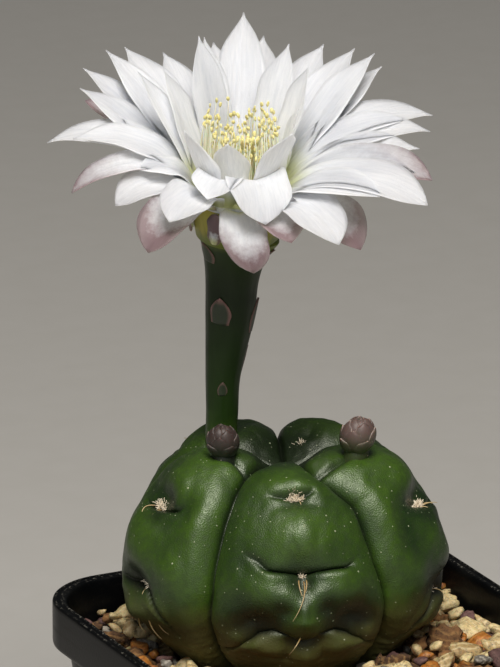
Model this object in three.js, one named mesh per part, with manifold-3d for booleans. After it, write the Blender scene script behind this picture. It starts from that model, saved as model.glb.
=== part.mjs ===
// A small flowering cactus, Gymnocalycium denudatum, in a square plastic pot with a gravel top dressing.
// Millimetres and degrees. Z is up, the pot stands on Z = 0 and its middle is the origin.
import * as THREE from 'three';
import Module from 'manifold-3d';
import { mergeVertices } from 'three/addons/utils/BufferGeometryUtils.js';

const wasm = await Module();
wasm.setup();

// Pot
const POT_WIDTH = 80;
const POT_HEIGHT = 75;
const POT_BASE_WIDTH = 58;
const POT_CORNER = 14;
const POT_BASE_CORNER = 10;
const WALL = 1.1;
const FLOOR = 1.6;
const COLLAR_HEIGHT = 9;
const COLLAR_STEP = 1.2;
const LIP_ROUND = 0.5;
const FOOT_CHAMFER = 0.8;
const DRAIN_RADIUS = 3;
const DRAIN_RING = 17;
const DRAIN_COUNT = 8;
const CORNER_STEPS = 4;
const DRAIN_SIDES = 8;

// Filling
const SEAT_GAP = 0.3;
const FILL_GAP = 0.38;
const SOIL_TOP = 61.7;
const GRAVEL_BED_TOP = 68.4;
const GRAVEL_LEVEL = 70;
const STONE_SPACING = 9.8;
const STONE_SIZE = [3.6, 5];
const STONE_LENGTH_SHARE = [0.85, 1.15];
const STONE_WIDTH_SHARE = [0.75, 1];
const STONE_FLATNESS = 0.62;
const STONE_CLEAR_OF_PLANT = 25;
const STONE_SHIFT = 1.2;
const STONE_RISE = 0.9;
const STONE_SEED = 11;

// Cactus body. Turns go round its axis from the front rib, anticlockwise seen from above.
const PLANT_X = -1;
const PLANT_Y = 10;
const FRONT_BEARING = -116.6;
const RIB_FURROWS = [-29, 42, 108, 185, 264, 331];
const RIB_COUNT = RIB_FURROWS.length - 1;
const MERIDIAN = [
  [0, 31], [4, 33], [8.5, 35.6], [14, 36.2], [19.5, 34.6], [24.2, 31], [28, 25.6], [30.6, 19.5],
  [31.4, 13.5], [30.2, 8.5], [27.4, 4.3], [24.2, 0.5], [20, -3.5], [14.5, -7.5], [8.5, -11.5],
  [3.5, -16], [0, -22],
];
const FURROW_DEPTH = [1.2, 4.8];
const FURROW_SHARPNESS = 0.95;
const BODY_RADIUS = 31.4;
const CROWN_RADIUS = 8;
const CROWN_SHARE = 0.25;
const ROOT_LINE = -1;
const COLUMNS_PER_RIB = 8;
const ROWS_ABOVE = 23;
const ROWS_BELOW = 4;
const PIT = { depth: 1.1, wide: 3, tall: 2.4 };
const SLIT = { depth: 1.1, wide: 7, tall: 2.4 };
const CHIN = { height: 0.9, wide: 7, tall: 3.6, offset: 6 };
const AREOLES = [
  { rib: 0, heights: [33.2, 21, 8] },
  { rib: 1, heights: [28.8, 12] },
  { rib: 2, heights: [34, 23, 9] },
  { rib: 3, heights: [31.5, 18] },
  { rib: 4, heights: [29.9, 15] },
];
const WOOL_RADIUS = 1.5;
const WOOL_FLATNESS = 0.7;
const WOOL_STAND = 0.4;
const SPINE_RADIUS = 0.42;
const SPINE_LENGTH = 5.2;
const SPINE_SPREAD = [-62, 0, 62];
const SPINE_STAND = 0.75;
const SPINE_DROOP = 0.5;
const ROOT_SINK = 0.6;

// Flower. Its places are right, front and up from the plant's axis at gravel level.
const FLOWER_CENTRE = [-8.6, -3, 78.9];
const FLOWER_LEAN_FRONT = 8;
const FLOWER_LEAN_RIGHT = 1.5;
const TUBE_PATH = [
  [-12, -4.5, 33], [-11.6, -4.3, 41], [-11.4, -4.1, 49],
  [-10.2, -3.8, 60], [-9.7, -3.5, 68], [-9.2, -3.4, 73],
];
const TUBE_RADII = [2.9, 3, 3.3, 4.5, 5, 6.1, 7.8];
const TUBE_TOP = -2.5;
const TUBE_SIDES = 14;
const CUP = [[4.7, 0], [4.2, -5], [3.3, -9.5]];
const SCALE_RISE = 78;
const SCALE_CUP = 0.3;
const SCALE_SINK = 0.3;
const TUBE_SCALES = [
  { along: 0.5, turn: -25, length: 4.5, width: 4.4 },
  { along: 0.27, turn: 0, length: 3, width: 3 },
  { along: 0.52, turn: 85, length: 5, width: 4.2 },
  { along: 0.68, turn: -80, length: 5.5, width: 4.6 },
  { along: 0.7, turn: 30, length: 5, width: 4.6 },
  { along: 0.6, turn: 150, length: 5, width: 4.4 },
  { along: 0.4, turn: -130, length: 4, width: 3.8 },
];
const COLLAR = [[5.6, -2.2], [7.8, -2.2], [8.7, 3], [9.2, 8.6], [7.1, 8.6], [6.5, 3]];
const COLLAR_SIDES = 16;
const BLADE_THICKNESS = 0.7;
const BLADE_ROOT_SHARE = 0.36;
const BLADE_WIDEST = 0.6;
const BLADE_TIP_SHARE = 0.06;
const BLADE_TIP_CURVE = 1.9;
const PETAL_CUP = 0.24;
const SHORT_PETAL = 10;
// One whorl after another from the throat outwards. Each petal's turn, rise of its middle, length and width,
// and its bend where that isn't its whorl's.
const PETAL_WHORLS = [
  { root: [8, 7.5], bend: 14, petals: [
    [-150, 69, 25, 6.5], [-162, 62, 24, 6.5], [152, 65, 24, 7], [112, 77, 23, 6], [78, 81, 17, 5.5],
    [-98, 62, 24, 6], [-110, 71, 22, 6], [-7, 64, 20, 8.5], [-42, 64, 19, 8.5], [32, 73, 20, 8.5],
  ] },
  { root: [8.3, 6.3], bend: 20, petals: [
    [180, 41, 33, 10], [132, 47, 29, 9], [-133, 43, 29, 9], [117, 50, 30, 8], [-121, 45, 30, 8],
  ] },
  { root: [8.4, 5], bend: 26, petals: [
    [-170, 40, 29, 9], [170, 44, 29, 9], [148, 46, 29, 9], [120, 44, 30, 8], [-148, 43, 27, 9],
    [-115, 39, 31, 8], [-103, 40, 29, 8],
  ] },
  { root: [8.2, 3], bend: 52, petals: [
    [-92, 25, 32.5, 8, 85], [-82, 38, 28, 8, 75], [97, 31, 34, 8.5, 75], [104, 34, 32, 8, 85],
    [88, 33, 32, 8], [62, 19, 34, 9, 70], [54, 29, 25, 8], [74, 28, 27, 8.5],
  ] },
  { root: [8.2, 2.4], bend: 75, petals: [
    [-56, 41, 20, 7], [-56, 20.5, 23, 8, 95], [-31, 21, 19, 8.5], [-19, 44, 17, 8.5], [14, 29, 18, 9],
    [38, 9, 23, 9.5],
  ] },
  { root: [7.9, 0.6], bend: 82, petals: [
    [7, 7, 22, 9.5], [-72, 19, 31.5, 7, 125], [-112, 38, 31, 8, 50], [-40, 4, 21, 9.5, 105],
    [22, 23, 19, 8.5], [52, 12, 27, 9.5, 110], [76, 27, 35, 8.5], [142, 30, 27, 8],
    [165, 28, 28, 8], [-166, 30, 28, 8], [-140, 28, 27, 8],
  ] },
  { root: [7.7, -1.4], bend: -6, petals: [
    [-80, 72, 7, 5], [-42, 76, 7.5, 5], [10, 72, 6, 5], [75, 72, 7, 5], [150, 72, 7, 5], [-140, 72, 7, 5],
  ] },
];
const STAMEN_RING = [[4.8, -2.2], [5.3, -2.2], [6, 2.4], [4.9, 2.4]];
const STAMEN_COUNT = 20;
const STAMEN_SPREAD = 0.3;
const STAMEN_SEED = 5;
const FILAMENT_RADIUS = 0.34;
const FILAMENT_FOOT = [5.4, 1];
const ANTHER_RINGS = [[4.6, 5.3], [5.9, 6.6]];
const ANTHER_HEIGHTS = [17.2, 22.2];
const ANTHER_TILT = 0.6;
const ANTHER_SIZE = [0.6, 0.6, 0.95];
const STYLE_FOOT = -11.7;
const STYLE_TOP = 14.5;
const STYLE_RADIUS = 1;
const STYLE_LEAN = { turn: 60, reach: 1.8 };
const STIGMA_RADIUS = 0.55;
const STIGMA_SPREAD = 1.5;
const STIGMA_LOBES = 6;
const STIGMA_LENGTH = 3.6;

// Buds: places of their middles, right, front and up, and their radii.
const BUDS = [
  { name: 'bud_right', centre: [13.6, 7.4, 40.7], radius: 3.3, colour: 0x8d6f66 },
  { name: 'bud_left', centre: [-11.4, 9, 40.1], radius: 3, colour: 0x6f6a55 },
];
const BUD_STRETCH = 1.15;
const BUD_SCALE = { sink: 0.9, rise: 88, riseByDrop: 42, bend: -62, widthShare: 1.5, cup: 0.45 };
const BUD_STALK = { share: 0.75, drop: 2.2, sides: 6 };
const BUD_SCALE_RINGS = [
  { drop: -0.6, count: 4, lengthShare: 1.3 },
  { drop: 0.1, count: 3, lengthShare: 1.1 },
];

const radians = THREE.MathUtils.degToRad;
const UP = new THREE.Vector3(0, 0, 1);

function seededRandom(seed) {
  let state = seed;
  return () => {
    state = (state * 16807) % 2147483647;
    return state / 2147483647;
  };
}

function between(random, low, high) {
  return low + (high - low) * random();
}

// Solids

// The faces between two rings of points in one list, each ring starting at its own place.
function bandFaces(first, second, size) {
  const faces = [];
  for (let side = 0; side < size; side += 1) {
    const next = (side + 1) % size;
    faces.push(first + side, first + next, second + next);
    faces.push(first + side, second + next, second + side);
  }
  return faces;
}

// Joins rings with the same number of points, and closes the first and the last with a fan.
// Seen along the way from the first ring to the second, each ring runs clockwise.
function loft(rings) {
  const size = rings[0].length;
  const points = rings.flat();
  const faces = [];
  for (let ring = 0; ring + 1 < rings.length; ring += 1) {
    faces.push(...bandFaces(ring * size, (ring + 1) * size, size));
  }
  for (const [ring, order] of [[0, -1], [rings.length - 1, 1]]) {
    const middle = new THREE.Vector3();
    rings[ring].forEach((point) => middle.add(point));
    points.push(middle.divideScalar(size));
    for (let side = 0; side < size; side += 1) {
      const here = ring * size + side;
      const next = ring * size + ((side + 1) % size);
      faces.push(points.length - 1, order > 0 ? here : next, order > 0 ? next : here);
    }
  }
  const geometry = new THREE.BufferGeometry().setFromPoints(points);
  geometry.setIndex(faces);
  return geometry;
}

function solid(geometry) {
  const bare = geometry.clone();
  bare.deleteAttribute('normal');
  bare.deleteAttribute('uv');
  const merged = mergeVertices(bare, 1e-4);
  const mesh = new wasm.Mesh({
    numProp: 3,
    vertProperties: new Float32Array(merged.attributes.position.array),
    triVerts: new Uint32Array(merged.index.array),
  });
  return new wasm.Manifold(mesh);
}

function joined(solids) {
  return solids.reduce((whole, piece) => whole.add(piece));
}

// Keeps the one main body: no loose scrap, and no hollow sealed in by the joining.
function mainBody(manifold) {
  const bodies = manifold.decompose();
  return bodies.reduce((best, body) => (body.volume() > best.volume() ? body : best));
}

function named(name, manifold, colour, roughness) {
  const { vertProperties, triVerts } = mainBody(manifold).getMesh();
  const geometry = new THREE.BufferGeometry();
  geometry.setAttribute('position', new THREE.BufferAttribute(vertProperties, 3));
  geometry.setIndex(new THREE.BufferAttribute(triVerts, 1));
  geometry.computeVertexNormals();
  const material = new THREE.MeshStandardMaterial({ color: colour, roughness, metalness: 0 });
  const mesh = new THREE.Mesh(geometry, material);
  mesh.name = name;
  return mesh;
}

// Pot

function roundedSquare(half, corner, height) {
  const points = [];
  for (let quarter = 0; quarter < 4; quarter += 1) {
    const middle = new THREE.Vector2(half - corner, half - corner);
    middle.rotateAround(new THREE.Vector2(), (quarter * Math.PI) / 2);
    for (let step = 0; step <= CORNER_STEPS; step += 1) {
      const angle = ((quarter + step / CORNER_STEPS) * Math.PI) / 2;
      const x = middle.x + corner * Math.cos(angle);
      const y = middle.y + corner * Math.sin(angle);
      points.push(new THREE.Vector3(x, y, height));
    }
  }
  return points;
}

// The tapered wall's outline at a height, moved in by an inset.
function wallOutline(height, inset) {
  const share = height / POT_HEIGHT;
  const half = THREE.MathUtils.lerp(POT_BASE_WIDTH, POT_WIDTH - 2 * COLLAR_STEP, share) / 2;
  const corner = THREE.MathUtils.lerp(POT_BASE_CORNER, POT_CORNER, share);
  return roundedSquare(half - inset, corner - inset, height);
}

function collarOutline(height, inset) {
  return roundedSquare(POT_WIDTH / 2 - inset, POT_CORNER - inset, height);
}

function makePot() {
  const collarFoot = POT_HEIGHT - COLLAR_HEIGHT;
  const shell = solid(loft([
    wallOutline(0, FOOT_CHAMFER),
    wallOutline(FOOT_CHAMFER, 0),
    wallOutline(collarFoot, 0),
    collarOutline(collarFoot + LIP_ROUND, 0),
    collarOutline(POT_HEIGHT - LIP_ROUND, 0),
    collarOutline(POT_HEIGHT, LIP_ROUND / 2),
    collarOutline(POT_HEIGHT, COLLAR_STEP),
    wallOutline(POT_HEIGHT - LIP_ROUND, WALL - LIP_ROUND / 2),
    wallOutline(collarFoot, WALL),
    wallOutline(FLOOR, WALL),
  ]));
  const drain = new THREE.CylinderGeometry(DRAIN_RADIUS, DRAIN_RADIUS, 3 * FLOOR, DRAIN_SIDES);
  drain.rotateX(Math.PI / 2);
  let pot = shell;
  for (let hole = 0; hole < DRAIN_COUNT; hole += 1) {
    const angle = (hole / DRAIN_COUNT) * 2 * Math.PI;
    const cutter = drain.clone().translate(DRAIN_RING * Math.cos(angle), DRAIN_RING * Math.sin(angle), 0);
    pot = pot.subtract(solid(cutter));
  }
  return named('pot', pot, 0x15171a, 0.55);
}

// Cactus body

const meridian = new THREE.SplineCurve(MERIDIAN.map((place) => new THREE.Vector2(...place)));

function plantPlace(right, front, up) {
  const bearing = radians(FRONT_BEARING);
  const frontward = new THREE.Vector3(Math.cos(bearing), Math.sin(bearing), 0);
  const rightward = new THREE.Vector3().crossVectors(UP, frontward);
  return new THREE.Vector3(PLANT_X, PLANT_Y, GRAVEL_LEVEL)
    .addScaledVector(rightward, right)
    .addScaledVector(frontward, front)
    .addScaledVector(UP, up);
}

// The share of the way down the meridian, past the crown, where it has fallen to a height.
function shareAtHeight(height) {
  let share = CROWN_SHARE;
  while (meridian.getPointAt(share).y > height) share += 0.001;
  return share;
}

function ribAt(turn) {
  const round = THREE.MathUtils.euclideanModulo(turn - RIB_FURROWS[0], 360) + RIB_FURROWS[0];
  let rib = 0;
  while (rib < RIB_COUNT - 1 && round > RIB_FURROWS[rib + 1]) rib += 1;
  const middle = (RIB_FURROWS[rib] + RIB_FURROWS[rib + 1]) / 2;
  const halfWidth = (RIB_FURROWS[rib + 1] - RIB_FURROWS[rib]) / 2;
  return { rib, middle, across: (round - middle) / halfWidth, side: radians(round - middle) };
}

function hump(distance, width) {
  return Math.exp(-((distance / width) ** 2));
}

const meridianLength = meridian.getLength();
const areoleShares = AREOLES.map(({ heights }) => heights.map(shareAtHeight));

// How far the skin stands out of the plain rib.
// At each areole it has a pit in a wide slit, with a chin above and below.
function tubercleRelief(rib, share, sideways) {
  let out = 0;
  for (const areole of areoleShares[rib]) {
    const down = (share - areole) * meridianLength;
    out -= PIT.depth * hump(sideways, PIT.wide) * hump(down, PIT.tall);
    out -= SLIT.depth * hump(sideways, SLIT.wide) * hump(down, SLIT.tall);
    for (const side of [-1, 1]) {
      out += CHIN.height * hump(sideways, CHIN.wide) * hump(down + side * CHIN.offset, CHIN.tall);
    }
  }
  return out;
}

function bodyPoint(turn, share, swell) {
  const { x: radius, y: height } = meridian.getPointAt(share);
  const tangent = meridian.getTangentAt(share);
  const outward = new THREE.Vector2(-tangent.y, tangent.x);
  const { rib, across, side } = ribAt(turn);
  const round = 1 - Math.sqrt(1 - (FURROW_SHARPNESS * across) ** 2);
  const valley = round / (1 - Math.sqrt(1 - FURROW_SHARPNESS ** 2));
  const deepest = THREE.MathUtils.lerp(FURROW_DEPTH[0], FURROW_DEPTH[1], radius / BODY_RADIUS);
  const nearAxis = Math.min(1, radius / CROWN_RADIUS);
  const out = nearAxis * (tubercleRelief(rib, share, side * radius) - deepest * valley) + swell;
  const reach = Math.max(0, radius + outward.x * out);
  const angle = radians(turn);
  return plantPlace(reach * Math.sin(angle), reach * Math.cos(angle), height + outward.y * out);
}

function bodyTurns() {
  const turns = [];
  for (let rib = 0; rib < RIB_COUNT; rib += 1) {
    for (let column = 0; column < COLUMNS_PER_RIB; column += 1) {
      const along = (1 - Math.cos((column / COLUMNS_PER_RIB) * Math.PI)) / 2;
      const even = column / COLUMNS_PER_RIB;
      turns.push(THREE.MathUtils.lerp(RIB_FURROWS[rib], RIB_FURROWS[rib + 1], (along + even) / 2));
    }
  }
  return turns;
}

function bodyShell(swell) {
  const turns = bodyTurns();
  const soilLine = shareAtHeight(ROOT_LINE);
  const shares = [];
  for (let row = 1; row <= ROWS_BELOW; row += 1) shares.push(1 - (1 - soilLine) * (row / ROWS_BELOW));
  for (let row = 1; row < ROWS_ABOVE; row += 1) shares.push(soilLine * (1 - row / ROWS_ABOVE));
  return solid(loft(shares.map((share) => turns.map((turn) => bodyPoint(turn, share, swell)))));
}

function spine(root, direction) {
  const sides = 3;
  const side = new THREE.Vector3().crossVectors(direction, UP).normalize();
  const over = new THREE.Vector3().crossVectors(side, direction).normalize();
  const rings = [[0, SPINE_RADIUS], [SPINE_LENGTH, SPINE_RADIUS / 4]].map(([along, radius]) => {
    const middle = root.clone().addScaledVector(direction, along);
    return Array.from({ length: sides }, (_, corner) => {
      const angle = (-corner / sides) * 2 * Math.PI;
      return middle.clone()
        .addScaledVector(side, radius * Math.cos(angle))
        .addScaledVector(over, radius * Math.sin(angle));
    });
  });
  return solid(loft(rings));
}

function woolPad(middle, outward) {
  const pad = new THREE.IcosahedronGeometry(WOOL_RADIUS, 0).scale(1, 1, WOOL_FLATNESS);
  pad.applyQuaternion(new THREE.Quaternion().setFromUnitVectors(UP, outward));
  return solid(pad.translate(middle.x, middle.y, middle.z));
}

function makeBody() {
  const growths = [];
  AREOLES.forEach(({ rib }) => {
    const middle = (RIB_FURROWS[rib] + RIB_FURROWS[rib + 1]) / 2;
    areoleShares[rib].forEach((share) => {
      const place = bodyPoint(middle, share, 0);
      const outward = bodyPoint(middle, share, 1).sub(place).normalize();
      const sideways = new THREE.Vector3().crossVectors(UP, outward).normalize();
      growths.push(woolPad(place.clone().addScaledVector(outward, WOOL_STAND), outward));
      for (const spread of SPINE_SPREAD) {
        const direction = outward.clone().multiplyScalar(SPINE_STAND)
          .addScaledVector(sideways, Math.sin(radians(spread)))
          .addScaledVector(UP, -SPINE_DROOP)
          .normalize();
        growths.push(spine(place.clone().addScaledVector(outward, -ROOT_SINK), direction));
      }
    });
  });
  return named('cactus_body', joined([bodyShell(0), ...growths]), 0x3f5a2c, 0.5);
}

const bodySeat = bodyShell(FILL_GAP);

// Soil and gravel

function makeSoil() {
  const inset = WALL + FILL_GAP;
  const heap = solid(loft([wallOutline(FLOOR + SEAT_GAP, inset), wallOutline(SOIL_TOP, inset)]));
  return named('soil', heap.subtract(bodySeat), 0x2b211a, 0.95);
}

function stone(random, x, y) {
  const size = between(random, STONE_SIZE[0], STONE_SIZE[1]);
  const rock = new THREE.IcosahedronGeometry(size, 0);
  rock.rotateX(between(random, 0, Math.PI));
  rock.rotateY(between(random, 0, Math.PI));
  rock.scale(between(random, ...STONE_LENGTH_SHARE), between(random, ...STONE_WIDTH_SHARE), STONE_FLATNESS);
  rock.rotateZ(between(random, 0, Math.PI));
  return solid(rock.translate(x, y, GRAVEL_BED_TOP + between(random, 0, STONE_RISE)));
}

function makeGravel() {
  const random = seededRandom(STONE_SEED);
  const inset = WALL + FILL_GAP;
  const bed = solid(loft([wallOutline(SOIL_TOP + SEAT_GAP, inset), wallOutline(GRAVEL_BED_TOP, inset)]));
  const room = solid(loft([wallOutline(SOIL_TOP + SEAT_GAP, inset), wallOutline(POT_HEIGHT, inset)]));
  const stones = [];
  const reach = POT_WIDTH / 2 - STONE_SIZE[0];
  const rows = Math.floor((2 * reach) / STONE_SPACING);
  for (let row = 0; row <= rows; row += 1) {
    for (let column = 0; column <= rows; column += 1) {
      const stagger = (row % 2) * 0.5;
      const x = -reach + (column + stagger) * STONE_SPACING + between(random, -STONE_SHIFT, STONE_SHIFT);
      const y = -reach + row * STONE_SPACING + between(random, -STONE_SHIFT, STONE_SHIFT);
      const fromAxis = Math.hypot(x - PLANT_X, y - PLANT_Y);
      const made = stone(random, x, y);
      if (fromAxis > STONE_CLEAR_OF_PLANT && x < reach) stones.push(made);
    }
  }
  const gravel = joined([bed, ...stones]).intersect(room).subtract(bodySeat);
  return named('gravel', gravel, 0xa58e6d, 0.7);
}

// Flower

const flowerAxis = plantPlace(Math.tan(radians(FLOWER_LEAN_RIGHT)), Math.tan(radians(FLOWER_LEAN_FRONT)), 1)
  .sub(plantPlace(0, 0, 0))
  .normalize();
const flowerFront = plantPlace(0, 1, 0).sub(plantPlace(0, 0, 0)).projectOnPlane(flowerAxis).normalize();
const flowerRight = new THREE.Vector3().crossVectors(flowerAxis, flowerFront);

function flowerPlace(turn, radius, height) {
  const angle = radians(turn);
  return plantPlace(...FLOWER_CENTRE)
    .addScaledVector(flowerRight, radius * Math.sin(angle))
    .addScaledVector(flowerFront, radius * Math.cos(angle))
    .addScaledVector(flowerAxis, height);
}

function flowerOutward(turn) {
  return flowerPlace(turn, 1, 0).sub(flowerPlace(turn, 0, 0));
}

// The share of its full width that a blade has at a share of its length.
// It is widest past its middle and then runs to a point.
function bladeWidthShare(along) {
  if (along < BLADE_WIDEST) {
    return THREE.MathUtils.lerp(BLADE_ROOT_SHARE, 1, Math.sin((Math.PI / 2) * (along / BLADE_WIDEST)));
  }
  const towardsTip = (along - BLADE_WIDEST) / (1 - BLADE_WIDEST);
  return 1 - (1 - BLADE_TIP_SHARE) * towardsTip ** BLADE_TIP_CURVE;
}

// A thin pointed blade that rises from its root, bends outwards along its length and is cupped across it.
// Both of its faces are split into the same triangles.
function blade({ root, outward, axis, rise, bend, length, width, cup, stations }) {
  const side = new THREE.Vector3().crossVectors(outward, axis).normalize();
  const upper = [];
  const lower = [];
  const middle = root.clone();
  const riseAt = (along) => radians(rise + bend * (0.5 - along));
  for (let station = 0; station <= stations; station += 1) {
    const along = station / stations;
    if (station > 0) {
      const angle = riseAt(along - 0.5 / stations);
      middle.addScaledVector(outward, (Math.cos(angle) * length) / stations);
      middle.addScaledVector(axis, (Math.sin(angle) * length) / stations);
    }
    const angle = riseAt(along);
    const face = axis.clone().multiplyScalar(Math.cos(angle)).addScaledVector(outward, -Math.sin(angle));
    const half = (width / 2) * bladeWidthShare(along);
    for (const across of [-1, 0, 1]) {
      const point = middle.clone()
        .addScaledVector(side, half * across)
        .addScaledVector(face, cup * half * Math.abs(across));
      upper.push(point);
      lower.push(point.clone().addScaledVector(face, -BLADE_THICKNESS));
    }
  }
  const points = [...upper, ...lower];
  const half = upper.length;
  const faces = [];
  for (let station = 0; station < stations; station += 1) {
    for (let column = 0; column < 2; column += 1) {
      const a = station * 3 + column;
      const [b, c, d] = [a + 1, a + 4, a + 3];
      faces.push(a, b, c, a, c, d, half + a, half + c, half + b, half + a, half + d, half + c);
    }
    for (const [from, to] of [[station * 3, station * 3 + 3], [station * 3 + 5, station * 3 + 2]]) {
      faces.push(from, to, half + to, from, half + to, half + from);
    }
  }
  const last = stations * 3;
  for (const [from, to] of [[1, 0], [2, 1], [last, last + 1], [last + 1, last + 2]]) {
    faces.push(from, to, half + to, from, half + to, half + from);
  }
  const geometry = new THREE.BufferGeometry().setFromPoints(points);
  geometry.setIndex(faces);
  return solid(geometry);
}

// A ring round the flower's axis whose section is given as radius and height.
function flowerRing(section, sides) {
  const rings = section.map(([radius, height]) => Array.from({ length: sides }, (_, side) => (
    flowerPlace((side / sides) * 360, radius, height)
  )));
  const faces = section.flatMap((_, ring) => (
    bandFaces(ring * sides, ((ring + 1) % section.length) * sides, sides)
  ));
  const geometry = new THREE.BufferGeometry().setFromPoints(rings.flat());
  geometry.setIndex(faces);
  return solid(geometry);
}

function tubeRing(middle, direction, radius) {
  const right = flowerRight.clone().projectOnPlane(direction).normalize();
  const front = new THREE.Vector3().crossVectors(direction, right);
  return Array.from({ length: TUBE_SIDES }, (_, side) => {
    const angle = (side / TUBE_SIDES) * 2 * Math.PI;
    return middle.clone()
      .addScaledVector(right, radius * Math.cos(angle))
      .addScaledVector(front, radius * Math.sin(angle));
  });
}

function makeTube() {
  const path = TUBE_PATH.map((place) => plantPlace(...place));
  path.push(flowerPlace(0, 0, TUBE_TOP));
  const curve = new THREE.CatmullRomCurve3(path);
  const steps = 2 * (path.length - 1);
  const radiusAt = (along) => {
    const place = along * (path.length - 1);
    const before = Math.min(Math.floor(place), path.length - 2);
    return THREE.MathUtils.lerp(TUBE_RADII[before], TUBE_RADII[before + 1], place - before);
  };
  const rings = Array.from({ length: steps }, (_, step) => {
    const along = step / steps;
    return tubeRing(curve.getPoint(along), curve.getTangent(along), radiusAt(along));
  });
  rings.push(tubeRing(flowerPlace(0, 0, TUBE_TOP), flowerAxis, TUBE_RADII.at(-1)));
  for (const [radius, depth] of CUP) {
    rings.push(tubeRing(flowerPlace(0, 0, TUBE_TOP + depth), flowerAxis, radius));
  }
  const scales = TUBE_SCALES.map(({ along, turn, length, width }) => {
    const angle = radians(turn);
    const axis = curve.getTangent(along);
    const outward = flowerRight.clone().multiplyScalar(Math.sin(angle))
      .addScaledVector(flowerFront, Math.cos(angle))
      .projectOnPlane(axis)
      .normalize();
    const root = curve.getPoint(along).addScaledVector(outward, radiusAt(along) - SCALE_SINK);
    const shape = { rise: SCALE_RISE, bend: 0, length, width, cup: SCALE_CUP, stations: 2 };
    return blade({ root, outward, axis, ...shape });
  });
  const tube = joined([solid(loft(rings)), ...scales]).subtract(bodySeat);
  return named('flower_tube', tube, 0x54703a, 0.5);
}

function makePetals() {
  const blades = PETAL_WHORLS.flatMap(({ root, bend: usual, petals }) => petals.map((petal) => {
    const [turn, rise, length, width, bend = usual] = petal;
    const stations = length > SHORT_PETAL ? 4 : 2;
    const shape = { rise, bend, length, width, cup: PETAL_CUP, stations };
    const foot = flowerPlace(turn, ...root);
    return blade({ root: foot, outward: flowerOutward(turn), axis: flowerAxis, ...shape });
  }));
  return named('petals', joined([flowerRing(COLLAR, COLLAR_SIDES), ...blades]), 0xf1f1ec, 0.55);
}

// A thin round rod through a list of places, with few sides.
function rod(places, radii, sides) {
  const rings = places.map((place, index) => {
    const before = places[Math.max(0, index - 1)];
    const after = places[Math.min(places.length - 1, index + 1)];
    const direction = after.clone().sub(before).normalize();
    const right = flowerRight.clone().projectOnPlane(direction).normalize();
    const front = new THREE.Vector3().crossVectors(direction, right);
    return Array.from({ length: sides }, (_, side) => {
      const angle = (side / sides) * 2 * Math.PI;
      return place.clone()
        .addScaledVector(right, radii[index] * Math.cos(angle))
        .addScaledVector(front, radii[index] * Math.sin(angle));
    });
  });
  return solid(loft(rings));
}

function makeStamens() {
  const random = seededRandom(STAMEN_SEED);
  const pieces = [flowerRing(STAMEN_RING, COLLAR_SIDES)];
  for (let stamen = 0; stamen < STAMEN_COUNT; stamen += 1) {
    const turn = ((stamen + between(random, -STAMEN_SPREAD, STAMEN_SPREAD)) / STAMEN_COUNT) * 360;
    const radius = between(random, ...ANTHER_RINGS[stamen % 2]);
    const foot = flowerPlace(turn, ...FILAMENT_FOOT);
    const tip = flowerPlace(turn, radius, between(random, ...ANTHER_HEIGHTS));
    pieces.push(rod([foot, tip], [FILAMENT_RADIUS, FILAMENT_RADIUS], 3));
    const anther = new THREE.OctahedronGeometry(1, 0).scale(...ANTHER_SIZE);
    anther.rotateX(between(random, -ANTHER_TILT, ANTHER_TILT));
    anther.rotateY(between(random, -ANTHER_TILT, ANTHER_TILT));
    pieces.push(solid(anther.translate(tip.x, tip.y, tip.z)));
  }
  return named('stamens', joined(pieces), 0xe3d08a, 0.7);
}

function makeStyle() {
  const lean = (height) => {
    const share = (height - STYLE_FOOT) / (STYLE_TOP - STYLE_FOOT);
    return flowerPlace(STYLE_LEAN.turn, STYLE_LEAN.reach * share * share, height);
  };
  const heights = [STYLE_FOOT, 0, 8, STYLE_TOP];
  const column = rod(heights.map(lean), heights.map(() => STYLE_RADIUS), 8);
  const top = lean(STYLE_TOP);
  const lobes = Array.from({ length: STIGMA_LOBES }, (_, lobe) => {
    const outward = flowerOutward((lobe / STIGMA_LOBES) * 360);
    const besideTop = (spread, rise) => (
      top.clone().addScaledVector(outward, spread).addScaledVector(flowerAxis, rise)
    );
    const ends = [besideTop(STIGMA_SPREAD / 3, -STYLE_RADIUS), besideTop(STIGMA_SPREAD, STIGMA_LENGTH)];
    return rod(ends, [STIGMA_RADIUS, STIGMA_RADIUS], 4);
  });
  return named('style', joined([column, ...lobes]), 0xe9df9c, 0.6);
}

// Buds

function makeBud({ name, centre, radius, colour }) {
  const middle = plantPlace(...centre);
  const core = new THREE.SphereGeometry(radius, 8, 5).rotateX(Math.PI / 2).scale(1, 1, BUD_STRETCH);
  const pieces = [solid(core.translate(middle.x, middle.y, middle.z))];
  BUD_SCALE_RINGS.forEach(({ drop, count, lengthShare }, ring) => {
    for (let scale = 0; scale < count; scale += 1) {
      const turn = ((scale + ring * 0.5) / count) * 2 * Math.PI;
      const outward = new THREE.Vector3(Math.cos(turn), Math.sin(turn), 0);
      const girth = radius * Math.sqrt(1 - drop * drop) * BUD_SCALE.sink;
      pieces.push(blade({
        root: middle.clone().addScaledVector(outward, girth).addScaledVector(UP, radius * drop),
        outward,
        axis: UP,
        rise: BUD_SCALE.rise + drop * BUD_SCALE.riseByDrop,
        bend: BUD_SCALE.bend,
        length: radius * lengthShare,
        width: radius * BUD_SCALE.widthShare,
        cup: BUD_SCALE.cup,
        stations: 2,
      }));
    }
  });
  const foot = middle.clone().addScaledVector(UP, -radius * BUD_STALK.drop);
  const stalk = rod([foot, middle], [radius * BUD_STALK.share, radius * BUD_STALK.share], BUD_STALK.sides);
  return named(name, joined([...pieces, stalk]).subtract(bodySeat), colour, 0.6);
}

const plant = new THREE.Group();
plant.add(
  makePot(),
  makeSoil(),
  makeGravel(),
  makeBody(),
  ...BUDS.map(makeBud),
  makeTube(),
  makePetals(),
  makeStamens(),
  makeStyle(),
);

export default plant;
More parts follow.
